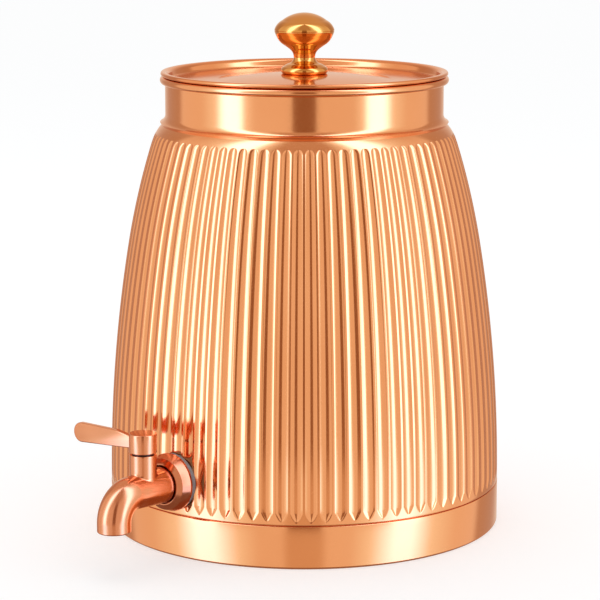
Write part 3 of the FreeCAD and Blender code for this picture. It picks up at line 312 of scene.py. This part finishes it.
def side_arcs():
    """Arcs (x, z, radius, top) up the side: two for the wall, the shoulder, the hollow on it."""
    foot = np.array((BELLY_R, BAND_TOP))
    edge = np.array((SHOULDER_R, SHOULDER_Z))
    upright = np.array((0.0, 1.0))
    leaning = np.array((-math.sin(SHOULDER_LEAN), math.cos(SHOULDER_LEAN)))

    # The wall's two arcs meet in a joint; the lower tangent is SIDE_BALANCE times the upper one
    span = edge - foot
    square = 2 * SIDE_BALANCE * (upright @ leaning - 1)
    linear = -2 * span @ (upright * SIDE_BALANCE + leaning)
    root = math.sqrt(linear * linear - 4 * square * (span @ span))
    upper = max((-linear - root) / (2 * square), (-linear + root) / (2 * square))
    lower = SIDE_BALANCE * upper
    low_end = foot + upright * lower
    high_end = edge - leaning * upper
    joint = (low_end * upper + high_end * lower) / (lower + upper)
    arcs = []
    for point, way, top in ((foot, upright, joint[1]), (edge, leaning, edge[1])):
        inward = np.array((-way[1], way[0]))
        across = joint - point
        radius = across @ across / (2 * across @ inward)
        arcs.append((*(point + inward * radius), radius, top))

    outward = np.array((math.cos(SHOULDER_LEAN), math.sin(SHOULDER_LEAN)))
    turn = edge - outward * SHOULDER_ROUND
    reach = SHOULDER_ROUND + FILLET
    rise = math.sqrt(reach * reach - (NECK_R + FILLET - turn[0]) ** 2)
    hollow_z = turn[1] + rise
    arcs.append((turn[0], turn[1], SHOULDER_ROUND, turn[1] + rise * SHOULDER_ROUND / reach))
    arcs.append((NECK_R + FILLET, hollow_z, FILLET, hollow_z))
    return arcs


SIDE = side_arcs()
SHOULDER = SIDE[2]
HOLLOW = SIDE[3]
NECK_Z = HOLLOW[3]


def side_radius(z, inset=0.0):
    """The barrel's radius at a height, on a surface that lies inset inside the outer one."""
    for part in SIDE:
        x, y, radius, top = part
        if z <= top:
            if part is HOLLOW:
                return x - math.sqrt((radius + inset) ** 2 - (z - y) ** 2)
            return x + math.sqrt((radius - inset) ** 2 - (z - y) ** 2)
    return NECK_R - inset


# Flutes: width as a share of the pitch, depth, and the lengths of their two ends
FLUTE_WIDTH = 0.84
FLUTE_DEPTH = 0.72
FOOT_TAPER = 5.0
FOOT_POINT = 0.7
SHOULDER_ARCH = 3.0
FIRST_FLUTE = math.radians(-89)

# Columns of one pitch, as shares from its middle: close together where a flute meets a ridge
SHARES = (0.04, 0.10, 0.17, 0.25, 0.33, 0.385, 0.415, 0.43, 0.465)
COLUMNS = np.array((-0.5, *(-share for share in reversed(SHARES)), 0.0, *SHARES))

# Foot of the neck: it flares out in a hollow arc and ends in a lip over the shoulder
FLARE_R = 5.0
FLARE_TURN = math.radians(66)
LIP_R = 87.6
LIP_Z = 247.3
CREASE_R = 86.6
FLARE_X = NECK_R + FLARE_R
FLARE_Z = LIP_Z + FLARE_R * math.sin(FLARE_TURN)
CREASE_Z = SHOULDER[1] + math.sqrt(SHOULDER[2] ** 2 - (CREASE_R - SHOULDER[0]) ** 2)

# Heights of the inside's rows, close together under the shoulder
SHOULDER_INSIDE = np.linspace(247.6, 236, 8)
WALL_INSIDE = np.linspace(230, 27.4, 18)


def flute_drop(z, share):
    """How far the surface lies below the ridges; share is 0 mid-flute and 1 mid-ridge.

    A flute narrows to a point over the foot and ends in a round arch on the shoulder.
    """
    low = z - FLUTE_LOW
    high = FLUTE_HIGH - z
    if min(low, high) <= 0:
        return 0.0
    point = min(1.0, low / FOOT_TAPER) ** FOOT_POINT
    arch = math.sqrt(1 - (1 - min(1.0, high / SHOULDER_ARCH)) ** 2)
    full = point * arch
    inside = np.minimum(np.abs(share) / (FLUTE_WIDTH * full), 1)
    return FLUTE_DEPTH * math.sqrt(full) * (1 - inside ** 2)


def wall_heights():
    """Heights of the fluted wall's rows, close together where the flutes end."""
    foot_end = FLUTE_LOW + FOOT_TAPER
    arch_start = FLUTE_HIGH - SHOULDER_ARCH
    return [
        SEAM_Z + 0.4,
        SEAM_Z + 1.4,
        *(FLUTE_LOW + np.linspace(0, 1, 17) ** 1.5 * FOOT_TAPER),
        *np.linspace(foot_end, arch_start, 56)[1:-1],
        *(FLUTE_HIGH - np.linspace(1, 0, 15) ** 1.7 * SHOULDER_ARCH),
        *np.linspace(FLUTE_HIGH, CREASE_Z, 8)[1:],
    ]


def rim_and_inside():
    """Points (radius, height) from the lip over the shoulder up, over the rim and down inside."""
    points = [(LIP_R - 0.16, LIP_Z - 0.36), (LIP_R - 0.02, LIP_Z - 0.14)]
    points += [
        (FLARE_X - FLARE_R * math.cos(turn), FLARE_Z - FLARE_R * math.sin(turn))
        for turn in np.linspace(FLARE_TURN, 0, 12)
    ]
    bead_z = RIM_Z - BEAD
    gap = math.degrees(math.acos((NECK_R - BEAD_X) / BEAD))
    points += [(NECK_R, z) for z in (258.0, 264.0, 269.0)]
    points.append((NECK_R, bead_z - BEAD * math.sin(math.radians(gap)) - 0.05))
    points += [tuple(point) for point in arc(BEAD_X, bead_z, BEAD, -gap, 180, 26)]

    inner_neck = NECK_R - WALL
    points += [(inner_neck, z) for z in (bead_z - 1.0, 266.0, 258.0, NECK_Z)]
    points += [(side_radius(z, WALL), z) for z in (*SHOULDER_INSIDE, *WALL_INSIDE)]
    inner_skirt = SKIRT_R - WALL
    points += [(inner_skirt, SEAM_Z + 0.2), (inner_skirt, SKIRT_Z), (SKIRT_R, SKIRT_Z)]
    return points


def make_barrel():
    """Closed sheet form: fluted wall, neck and rim, and the plain inside."""
    pitch = 2 * math.pi / FLUTES
    starts = np.arange(FLUTES)[:, None]
    angles = (FIRST_FLUTE + pitch * (starts + COLUMNS[None, :])).reshape(-1)
    share = np.tile(COLUMNS * 2, FLUTES)
    across = np.cos(angles)
    along = np.sin(angles)

    lower_edge = [
        (SKIRT_R, SEAM_Z - 0.2),
        (BELLY_R - 0.4, SEAM_Z),
        (BELLY_R - 0.13, SEAM_Z + 0.1),
    ]
    rows = [ring(radius * across, radius * along, z) for radius, z in lower_edge]
    for z in wall_heights():
        radius = side_radius(z) - flute_drop(z, share)
        rows.append(ring(radius * across, radius * along, z))
    rows += [ring(radius * across, radius * along, z) for radius, z in rim_and_inside()]
    mesh = grid_mesh("barrel", np.array(rows), loop_rows=True, sharp=50, weld=False)
    add_piece("barrel", mesh, "vessel", copper, "barrel_shell")


def make_band():
    """Foot band: a sheet with its foot turned in to a hem."""
    outline = rounded(
        [
            (BAND_R - BAND_HEM, 0, 0),
            (BAND_R, 0, 1.5),
            (BAND_R, BAND_TOP, 0.6),
            (BAND_R - WALL, BAND_TOP, 0.3),
            (BAND_R - WALL, WALL, 0),
            (BAND_R - BAND_HEM, WALL, 0),
        ]
    )
    mesh = grid_mesh("foot_band", turned_points(outline, sides=384), loop_rows=True)
    add_piece("foot_band", mesh, "vessel", copper, "base_band")


# Tap

TAP_SIDES = 96
TAIL_R = 8.0
TAIL_Y = -105.3
PIPE_START_Y = -124.45
PIPE_START_R = 11.1
PIPE_TAPER_Y = -126.0
TUBE_R = 9.9
BORE_R = 7.2
BEND_R = 14.8
BEND_Y = VALVE_Y - 9.8
BEND_Z = TAP_Z - BEND_R
OUTLET_Z = 25.7
OUTLET_ROUND = 0.8
BONNET_R = 7.85
BONNET_FOOT_R = 8.7
BONNET_TOP = 21.3
BONNET_EDGE = 0.5
BONNET_FLARE = 1.4
BONNET_FLARE_POWER = 2.2
BONNET_SINK = 0.12
GLAND_R = 5.6
GLAND_DEPTH = 6


def pipe_radius(y):
    """Outer radius of the pipe, which narrows from the flange to the bend."""
    return PIPE_START_R + (TUBE_R - PIPE_START_R) * (y - PIPE_START_Y) / (BEND_Y - PIPE_START_Y)


def tap_tube():
    """One tube from the tail through pipe, bend and outlet, and back up inside as its bore."""
    angles = np.linspace(0, 2 * math.pi, TAP_SIDES, endpoint=False)
    across = np.cos(angles)
    along = np.sin(angles)

    def straight(y, radius):
        return ring(radius * across, y, TAP_Z + radius * along)

    def bent(degrees, radius):
        turn = math.radians(degrees)
        reach = BEND_R + radius * along
        return ring(
            radius * across, BEND_Y - reach * math.sin(turn), BEND_Z + reach * math.cos(turn)
        )

    def dropped(z, radius):
        return ring(radius * across, BEND_Y - BEND_R - radius * along, z)

    rows = [straight(TAIL_Y, radius) for radius in (AXIS_R, TAIL_R)]
    rows.append(straight(PIPE_START_Y + 0.05, TAIL_R))
    rows += [straight(y, PIPE_START_R) for y in (PIPE_START_Y, PIPE_TAPER_Y)]
    rows += [straight(y, pipe_radius(y)) for y in np.linspace(PIPE_TAPER_Y - 1, BEND_Y, 12)]
    rows += [bent(degrees, TUBE_R) for degrees in np.linspace(4, 90, 24)]
    rows += [dropped(OUTLET_Z + rise, TUBE_R) for rise in (3.8, 1.5, 1.2)]
    for turn in np.radians(np.linspace(10, 90, 6)):
        z = OUTLET_Z + OUTLET_ROUND - OUTLET_ROUND * math.sin(turn)
        rows.append(dropped(z, TUBE_R - OUTLET_ROUND + OUTLET_ROUND * math.cos(turn)))
    rows += [
        dropped(OUTLET_Z, BORE_R + 0.4),
        dropped(OUTLET_Z + 0.1, BORE_R + 0.1),
        dropped(OUTLET_Z + 0.5, BORE_R),
        dropped(OUTLET_Z + 5.0, BORE_R),
    ]
    rows += [bent(degrees, BORE_R) for degrees in np.linspace(88, 2, 16)]
    rows += [straight(VALVE_Y - 8.0, radius) for radius in (BORE_R, AXIS_R)]
    return grid_mesh("tap_tube", np.array(rows), loop_rows=False)


def tap_bonnet():
    """Upright bonnet whose foot flares out and lies on the pipe, with a seat for the gland."""
    angles = np.linspace(0, 2 * math.pi, TAP_SIDES, endpoint=False)
    across = np.cos(angles)
    along = np.sin(angles)
    pipe = pipe_radius(VALVE_Y + BONNET_FOOT_R * along)
    shaft_top = BONNET_TOP - 1.0
    rows = []
    for share in np.linspace(0, 1, 12):
        radius = BONNET_FOOT_R + (BONNET_R - BONNET_FOOT_R) * (1 - (1 - share) ** 2)
        x = radius * across
        on_pipe = np.sqrt(pipe * pipe - x * x)
        flare = BONNET_FLARE * share ** BONNET_FLARE_POWER
        rise = on_pipe + flare - BONNET_SINK * (1 - share)
        rows.append(ring(x, VALVE_Y + radius * along, TAP_Z + np.minimum(rise, shaft_top)))
    edge = arc(BONNET_R - BONNET_EDGE, BONNET_TOP - BONNET_EDGE, BONNET_EDGE, 0, 90, 5)
    floor_z = BONNET_TOP - GLAND_DEPTH
    outline = [(BONNET_R, shaft_top), *edge, (GLAND_R, BONNET_TOP)]
    outline += [(GLAND_R, floor_z), (AXIS_R, floor_z)]
    rows += [ring(radius * across, VALVE_Y + radius * along, TAP_Z + z) for radius, z in outline]
    return grid_mesh("tap_bonnet", np.array(rows), loop_rows=False)


def make_tap():
    """The casting: tube and bonnet in one mesh."""
    parts = [tap_tube(), tap_bonnet()]
    shape = bmesh.new()
    for part in parts:
        shape.from_mesh(part)
        bpy.data.meshes.remove(part)
    mesh = bpy.data.meshes.new("tap_casting")
    shape.to_mesh(mesh)
    shape.free()
    finish_mesh(mesh, sharp=40)
    add_piece("tap_casting", mesh, "vessel", copper_tap, "tap_body")


def make_flange():
    """Round flange with a conical front and a well for the pipe."""
    back = -121.45
    front = -129.95
    hole = 8.05
    well = 11.55
    outer = 17.2
    outline = rounded(
        [
            (hole, back, 0),
            (outer, back, 0.25),
            (outer, back - 1.6, 0.35),
            (15.4, front + 1.7, 0.35),
            (12.25, front, 0.2),
            (well, front, 0.2),
            (well, front + 5.5, 0),
            (hole, front + 5.5, 0),
        ]
    )
    rows = turned_points(outline, sides=192, axis="y", place=(0, 0, TAP_Z))
    mesh = grid_mesh("tap_rosette", rows, loop_rows=True, sharp=35)
    add_piece("tap_rosette", mesh, "vessel", copper_flange_shaded, "tap_flange")


def make_cap():
    """Round cap that turns with the lever."""
    low = 68.0
    top = 79.3
    radius = 8.1
    outline = rounded(
        [(AXIS_R, low, 0), (radius, low, 0.45), (radius, top, 0.5), (AXIS_R, top, 0)]
    )
    rows = turned_points(outline, sides=128, place=(0, VALVE_Y, 0))
    mesh = grid_mesh("lever_hub", rows, loop_rows=False, sharp=35)
    add_piece("lever_hub", mesh, "lever", copper_tap, "lever_cap")


def make_blade():
    """Upright plate with a round tip, narrower at the hub, its edges rounded."""
    tip_x = -49.0
    tip_z = 72.25
    tip_r = 5.9
    half = 1.8
    edge = 0.8
    outline = rounded(
        [(-5.0, 69.3, 0), (-5.0, 75.8, 0), (-20.5, 78.2, 14.0), (tip_x, tip_z + tip_r, 0)], 10
    )
    outline = np.vstack([outline, arc(tip_x, tip_z, tip_r, 90, 270, 28)[1:]])
    way = np.roll(outline, -1, axis=0) - np.roll(outline, 1, axis=0)
    inward = np.stack([-way[:, 1], way[:, 0]], axis=1)
    inward /= np.linalg.norm(inward, axis=1)[:, None]

    def layer(turn, side):
        flat = outline + inward * (edge - edge * math.sin(turn))
        y = side * (half - edge + edge * math.cos(turn))
        return ring(flat[:, 0], VALVE_Y + y, flat[:, 1])

    turns = np.radians(np.linspace(0, 90, 6))
    rows = [layer(turn, -1) for turn in turns] + [layer(turn, 1) for turn in turns[::-1]]
    mesh = grid_mesh("lever_plate", np.array(rows), loop_rows=False, sharp=35)
    shape = bmesh.new()
    shape.from_mesh(mesh)
    rims = [line for line in shape.edges if line.is_boundary]
    bmesh.ops.holes_fill(shape, edges=rims, sides=0)
    bmesh.ops.recalc_face_normals(shape, faces=shape.faces)
    shape.to_mesh(mesh)
    shape.free()
    finish_mesh(mesh, sharp=35)
    add_piece("lever_plate", mesh, "lever", copper_tap, "lever_blade")


# Lid and knob

LID_TOP = 276.0
LID_SHEET = 1.0


def make_lid():
    """Sheet lid: a rolled edge, a steep wall down to a sunk pan, and a raised middle."""
    low = 275.2
    roll = 1.25
    roll_x = 85.8
    pan = 272.7
    pan_under = 272.2
    corner_x = 79.5
    corner = 2.7
    hole = 2.7
    outline = np.vstack(
        [
            # Underside, from the knob's screw out to the roll
            [(hole, LID_TOP - LID_SHEET), (15.0, LID_TOP - LID_SHEET)],
            [(52.0, pan_under), (corner_x, pan_under)],
            arc(corner_x, pan_under + corner, corner, -90, 0, 8)[1:],
            [(corner_x + corner, low), (roll_x, low)],
            arc(roll_x, low + roll, roll, -90, 90, 16)[1:],
            # Upper side, back to the middle
            bow((roll_x - 0.3, low + 2 * roll), (82.0, 275.7), 3.4, 10),
            [(81.8, pan + 0.25), (81.6, pan), (66.0, pan), (53.5, pan)],
            bow((52.6, pan), (51.2, pan + 0.14), -9, 4),
            bow((50.0, pan + 0.25), (16.0, 275.97), 420, 10),
            [(15.0, LID_TOP), (hole, LID_TOP)],
        ]
    )
    mesh = grid_mesh("lid", turned_points(outline, sides=320), loop_rows=True)
    add_piece("lid", mesh, "lid", copper_lid, "lid_pan")


def make_knob():
    """Turned knob: rolled foot, waist, bowl, a fine groove and a low crown."""
    outline = np.vstack(
        [
            # Rolled foot
            [(2.55, 0.0), (13.0, 0.0)],
            bow((13.3, 0.12), (14.3, 1.8), 2.4, 8),
            bow((14.3, 1.8), (12.3, 4.6), 3.2, 10)[1:],
            bow((12.3, 4.6), (9.6, 6.0), 8.0, 5)[1:],
            # Waist
            bow((9.6, 6.0), (6.45, 9.6), -4.4, 12)[1:],
            bow((6.45, 9.6), (6.9, 12.2), -9.0, 6)[1:],
            bow((6.9, 12.2), (9.2, 15.0), -7.5, 8)[1:],
            # Bowl
            bow((9.2, 15.0), (13.2, 17.8), -60.0, 6)[1:],
            bow((13.2, 17.8), (17.1, 22.8), 11.0, 10)[1:],
            bow((17.1, 22.8), (18.1, 25.6), 9.0, 6)[1:],
            # Groove and crown
            [(18.1, 25.9), (17.8, 26.05), (17.8, 26.2), (18.15, 26.35)],
            bow((18.12, 26.6), (13.4, 32.1), 9.5, 12),
            bow((13.4, 32.1), (AXIS_R, 36.7), 21.5, 14)[1:],
        ]
    )
    outline[:, 1] += LID_TOP
    rows = turned_points(outline, sides=192)
    mesh = grid_mesh("lid_knob", rows, loop_rows=False, sharp=32)
    add_piece("lid_knob", mesh, "lid", brass, "knob")


make_barrel()
make_band()
make_tap()
make_flange()
make_cap()
make_blade()
make_lid()
make_knob()

# CAD nodes that keep their own shape
CAD_FINISH = {
    "bottom_disc": copper_inside,
    "lid_skirt": copper_inside,
    "outer_gasket": silicone,
    "inner_gasket": silicone,
    "inner_washer": steel,
    "lock_nut": brass_plain,
    "port_seal": ptfe,
    "seat_sleeve": brass_plain,
    "stem_washer": ptfe,
    # Near-black painted shade for the gap under the cap
    "gland_nut": painted_shade_collar,
    "valve_plug": brass_plain,
    "plug_orings": rubber,
    "lever_screw": steel,
    "knob_screw": steel,
    "knob_washer": steel,
}
for node, finish in CAD_FINISH.items():
    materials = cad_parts[node].data.materials
    materials.clear()
    materials.append(finish)


# Studio: lengths in metres from here on, apart from the wall's profile

CAMERA_TURN = math.radians(40)
CAMERA_REACH = 1.4869
CAMERA_HEIGHT = 0.41762
CAMERA_PITCH = 0.187
CAMERA_LENS = 147.35
CAMERA_SENSOR = 36.0
CAMERA_CLIP_END = 100.0
FRAME_PIXELS = 600
SHIFT_PIXELS = -4.4

WHITE = (1, 1, 1, 1)
WORLD_LIGHT = 0.85
FLOOR_REACH = 12.0
FLOOR_COLOUR = (0.56, 0.565, 0.57, 1)
FLOOR_ROUGHNESS = 0.9
FLOOR_GLOW = 0.50
GROUND_RADIUS = 2.7
GROUND_Z = -1.5
GROUND_LIGHT = (0.34, 0.24, 0.20, 1)
OVERHEAD_PLACE = (-0.34, 0.40, 1.7)
OVERHEAD_SIZE = 1.0
OVERHEAD_POWER = 3.5

# Light of the studio wall: two tall cool lamps in a warm room, with a dark gap at the camera
ROOM = (0.92, 0.84, 0.80)
GAP = (0.33, 0.19, 0.12)
LAMP = (2.9, 3.4, 5.4)
LAMP_FOOT = (1.9, 2.6, 4.5)
BRIGHT = (1.05, 1.20, 1.30)
SHADE = (0.56, 0.41, 0.33)
REAR = (0.86, 0.72, 0.60)
NEAR_FLOOR = (0.74, 0.58, 0.47)
CEILING = (0.62, 0.47, 0.40)
CEILING_REAR = (0.78, 0.62, 0.54)

# Stops as degrees from the camera, and the light there: near the floor, at eye level, overhead
WALL_FOOT = (
    (0, NEAR_FLOOR), (9, NEAR_FLOOR), (13, ROOM), (26, ROOM), (38, BRIGHT), (53, LAMP_FOOT),
    (64, LAMP_FOOT), (78, BRIGHT), (98, ROOM), (117, ROOM), (123, SHADE), (146, SHADE),
    (170, REAR),
)
WALL_MIDDLE = (
    (0, GAP), (8.4, GAP), (10.6, ROOM), (40, ROOM), (48, BRIGHT), (54, LAMP), (67, LAMP),
    (76, BRIGHT), (91, ROOM), (117, ROOM), (123, SHADE), (146, SHADE), (170, REAR),
)
WALL_TOP = (
    (0, CEILING), (26, CEILING), (42, BRIGHT), (52, LAMP), (70, LAMP), (84, BRIGHT),
    (110, CEILING_REAR), (180, CEILING_REAR),
)

# Heights between which one row of stops goes over to the next
FOOT_HEIGHTS = (-0.46, -0.30)
TOP_HEIGHTS = (1.25, 3.2)

# A ramp's colours end at 1, so they hold the light divided by this, and the strength gives it back
WALL_GAIN = 5.4

# The wall's profile in millimetres
WALL_SIDES = 120
WALL_RADIUS = 2600.0
WALL_LOW = -1500.0
WALL_HIGH = 2000.0


def make_camera():
    """A long lens at the photograph's viewing angle."""
    data = bpy.data.cameras.new("camera")
    data.lens = CAMERA_LENS
    data.sensor_width = CAMERA_SENSOR
    data.sensor_fit = "HORIZONTAL"
    data.shift_x = SHIFT_PIXELS / FRAME_PIXELS
    data.clip_end = CAMERA_CLIP_END
    item = add_item("camera", data)
    item.location = (
        CAMERA_REACH * math.sin(CAMERA_TURN),
        -CAMERA_REACH * math.cos(CAMERA_TURN),
        CAMERA_HEIGHT,
    )
    item.rotation_euler = (math.pi / 2 - CAMERA_PITCH, 0, CAMERA_TURN)
    bpy.context.scene.camera = item


def math_node(tree, operation):
    item = tree.nodes.new("ShaderNodeMath")
    item.operation = operation
    return item


def seen_straight(tree):
    """1 for rays from the camera, from gloss and through glass, 0 for the light that falls."""
    path = tree.nodes.new("ShaderNodeLightPath")
    first = math_node(tree, "MAXIMUM")
    second = math_node(tree, "MAXIMUM")
    link(tree, path, "Is Camera Ray", first, 0)
    link(tree, path, "Is Glossy Ray", first, 1)
    link(tree, first, "Value", second, 0)
    link(tree, path, "Is Transmission Ray", second, 1)
    return second


def make_world():
    """White where it is seen, and a little less for the light that falls."""
    world = bpy.data.worlds.new("studio")
    bpy.context.scene.world = world
    world.use_nodes = True
    tree = world.node_tree
    back = tree.nodes["Background"]
    back.inputs["Color"].default_value = WHITE
    level = tree.nodes.new("ShaderNodeMapRange")
    level.inputs["To Min"].default_value = WORLD_LIGHT
    level.inputs["To Max"].default_value = 1.0
    link(tree, seen_straight(tree), "Value", level, "Value")
    link(tree, level, "Result", back, "Strength")


def add_reflected(name, mesh):
    """A part of the stage that shows only in the metal; returns its node tree and its light."""
    item = add_item(name, mesh)
    material, tree, shader = node_tree(name)
    tree.nodes.remove(shader)
    light = tree.nodes.new("ShaderNodeEmission")
    link(tree, light, "Emission", tree.nodes["Material Output"], "Surface")
    material.cycles.emission_sampling = "NONE"
    mesh.materials.append(material)
    item.visible_camera = False
    item.visible_diffuse = False
    item.visible_shadow = False
    return tree, light


def light_ramp(tree, stops):
    """Light of the wall by angle, as a ramp of the share of half a turn."""
    ramp = tree.nodes.new("ShaderNodeValToRGB")
    row = ramp.color_ramp.elements
    row[0].position = stops[0][0] / 180
    row[1].position = stops[-1][0] / 180
    for degrees, _ in stops[1:-1]:
        row.new(degrees / 180)
    for stop, (_, light) in zip(row, stops):
        stop.color = (*(value / WALL_GAIN for value in light), 1)
    return ramp


def rising_mix(tree, place, between, lower, upper):
    """Goes over from the lower colour to the upper one between two heights."""
    rise = tree.nodes.new("ShaderNodeMapRange")
    rise.interpolation_type = "SMOOTHSTEP"
    rise.inputs["From Min"].default_value = between[0]
    rise.inputs["From Max"].default_value = between[1]
    blend = tree.nodes.new("ShaderNodeMix")
    blend.data_type = "RGBA"
    # Sockets of the colour mix: 0 is the factor, 6 and 7 the colours, output 2 the result
    link(tree, place, "Z", rise, "Value")
    link(tree, rise, "Result", blend, 0)
    tree.links.new(lower, blend.inputs[6])
    tree.links.new(upper, blend.inputs[7])
    return blend.outputs[2]


def make_wall():
    """A round wall and dome with two tall soft lamps, seen only in the metal."""
    facing = CAMERA_TURN - math.pi / 2
    angles = facing + np.linspace(-math.pi, math.pi, WALL_SIDES, endpoint=False)
    dome = arc(0, 0, WALL_RADIUS, 0, 89.9, 12)[1:]
    profile = [(WALL_RADIUS, WALL_LOW), (WALL_RADIUS, WALL_HIGH)]
    profile += [(radius, z + WALL_HIGH) for radius, z in dome]
    rows = [ring(radius * np.cos(angles), radius * np.sin(angles), z) for radius, z in profile]
    mesh = grid_mesh("studio_wall", np.array(rows), loop_rows=False, sharp=180, weld=False)
    tree, light = add_reflected("studio_wall", mesh)
    light.inputs["Strength"].default_value = WALL_GAIN

    # Angle from the camera's side, as a share of half a turn either way
    place = tree.nodes.new("ShaderNodeTexCoord")
    turn = tree.nodes.new("ShaderNodeVectorRotate")
    turn.rotation_type = "Z_AXIS"
    turn.inputs["Angle"].default_value = -facing
    split = tree.nodes.new("ShaderNodeSeparateXYZ")
    angle = math_node(tree, "ARCTAN2")
    size = math_node(tree, "ABSOLUTE")
    share = math_node(tree, "DIVIDE")
    share.inputs[1].default_value = math.pi
    link(tree, place, "Object", turn, "Vector")
    link(tree, turn, "Vector", split, "Vector")
    link(tree, split, "Y", angle, 0)
    link(tree, split, "X", angle, 1)
    link(tree, angle, "Value", size, 0)
    link(tree, size, "Value", share, 0)

    ramps = [light_ramp(tree, stops) for stops in (WALL_FOOT, WALL_MIDDLE, WALL_TOP)]
    for ramp in ramps:
        link(tree, share, "Value", ramp, "Fac")
    foot, middle, top = (ramp.outputs["Color"] for ramp in ramps)
    lower = rising_mix(tree, split, FOOT_HEIGHTS, foot, middle)
    whole = rising_mix(tree, split, TOP_HEIGHTS, lower, top)
    tree.links.new(whole, light.inputs["Color"])


def make_ground():
    """A dim disc under the floor, seen only in metal that faces down."""
    mesh = bpy.data.meshes.new("studio_ground")
    shape = bmesh.new()
    bmesh.ops.create_circle(shape, cap_ends=True, segments=64, radius=GROUND_RADIUS)
    bmesh.ops.translate(shape, verts=shape.verts, vec=(0, 0, GROUND_Z))
    shape.to_mesh(mesh)
    shape.free()
    light = add_reflected("studio_ground", mesh)[1]
    light.inputs["Color"].default_value = GROUND_LIGHT


def make_floor():
    """Plain pale floor: it takes light and shadow, and glows a little where it is seen."""
    mesh = bpy.data.meshes.new("floor")
    signs = ((-1, -1), (1, -1), (1, 1), (-1, 1))
    corners = [(x * FLOOR_REACH, y * FLOOR_REACH, 0) for x, y in signs]
    mesh.from_pydata(corners, [], [(0, 1, 2, 3)])
    item = add_item("floor", mesh)
    material, tree, shader = node_tree("floor")
    shader.inputs["Base Color"].default_value = FLOOR_COLOUR
    shader.inputs["Roughness"].default_value = FLOOR_ROUGHNESS
    shader.inputs["Specular IOR Level"].default_value = 0.0
    shader.inputs["Emission Color"].default_value = WHITE
    level = math_node(tree, "MULTIPLY")
    level.inputs[1].default_value = FLOOR_GLOW
    link(tree, seen_straight(tree), "Value", level, 0)
    link(tree, level, "Value", shader, "Emission Strength")
    mesh.materials.append(material)
    item.visible_glossy = False


def make_lamp():
    """A wide soft lamp over and behind the object, for the light on the floor."""
    data = bpy.data.lights.new("overhead", "AREA")
    data.shape = "SQUARE"
    data.size = OVERHEAD_SIZE
    data.energy = OVERHEAD_POWER
    item = add_item("overhead", data)
    item.location = OVERHEAD_PLACE
    item.rotation_euler = (-item.location).to_track_quat("-Z", "Y").to_euler()
    item.visible_glossy = False


make_camera()
make_world()
make_wall()
make_ground()
make_floor()
make_lamp()
bpy.context.scene.view_settings.view_transform = "Standard"

bpy.context.view_layer.update()
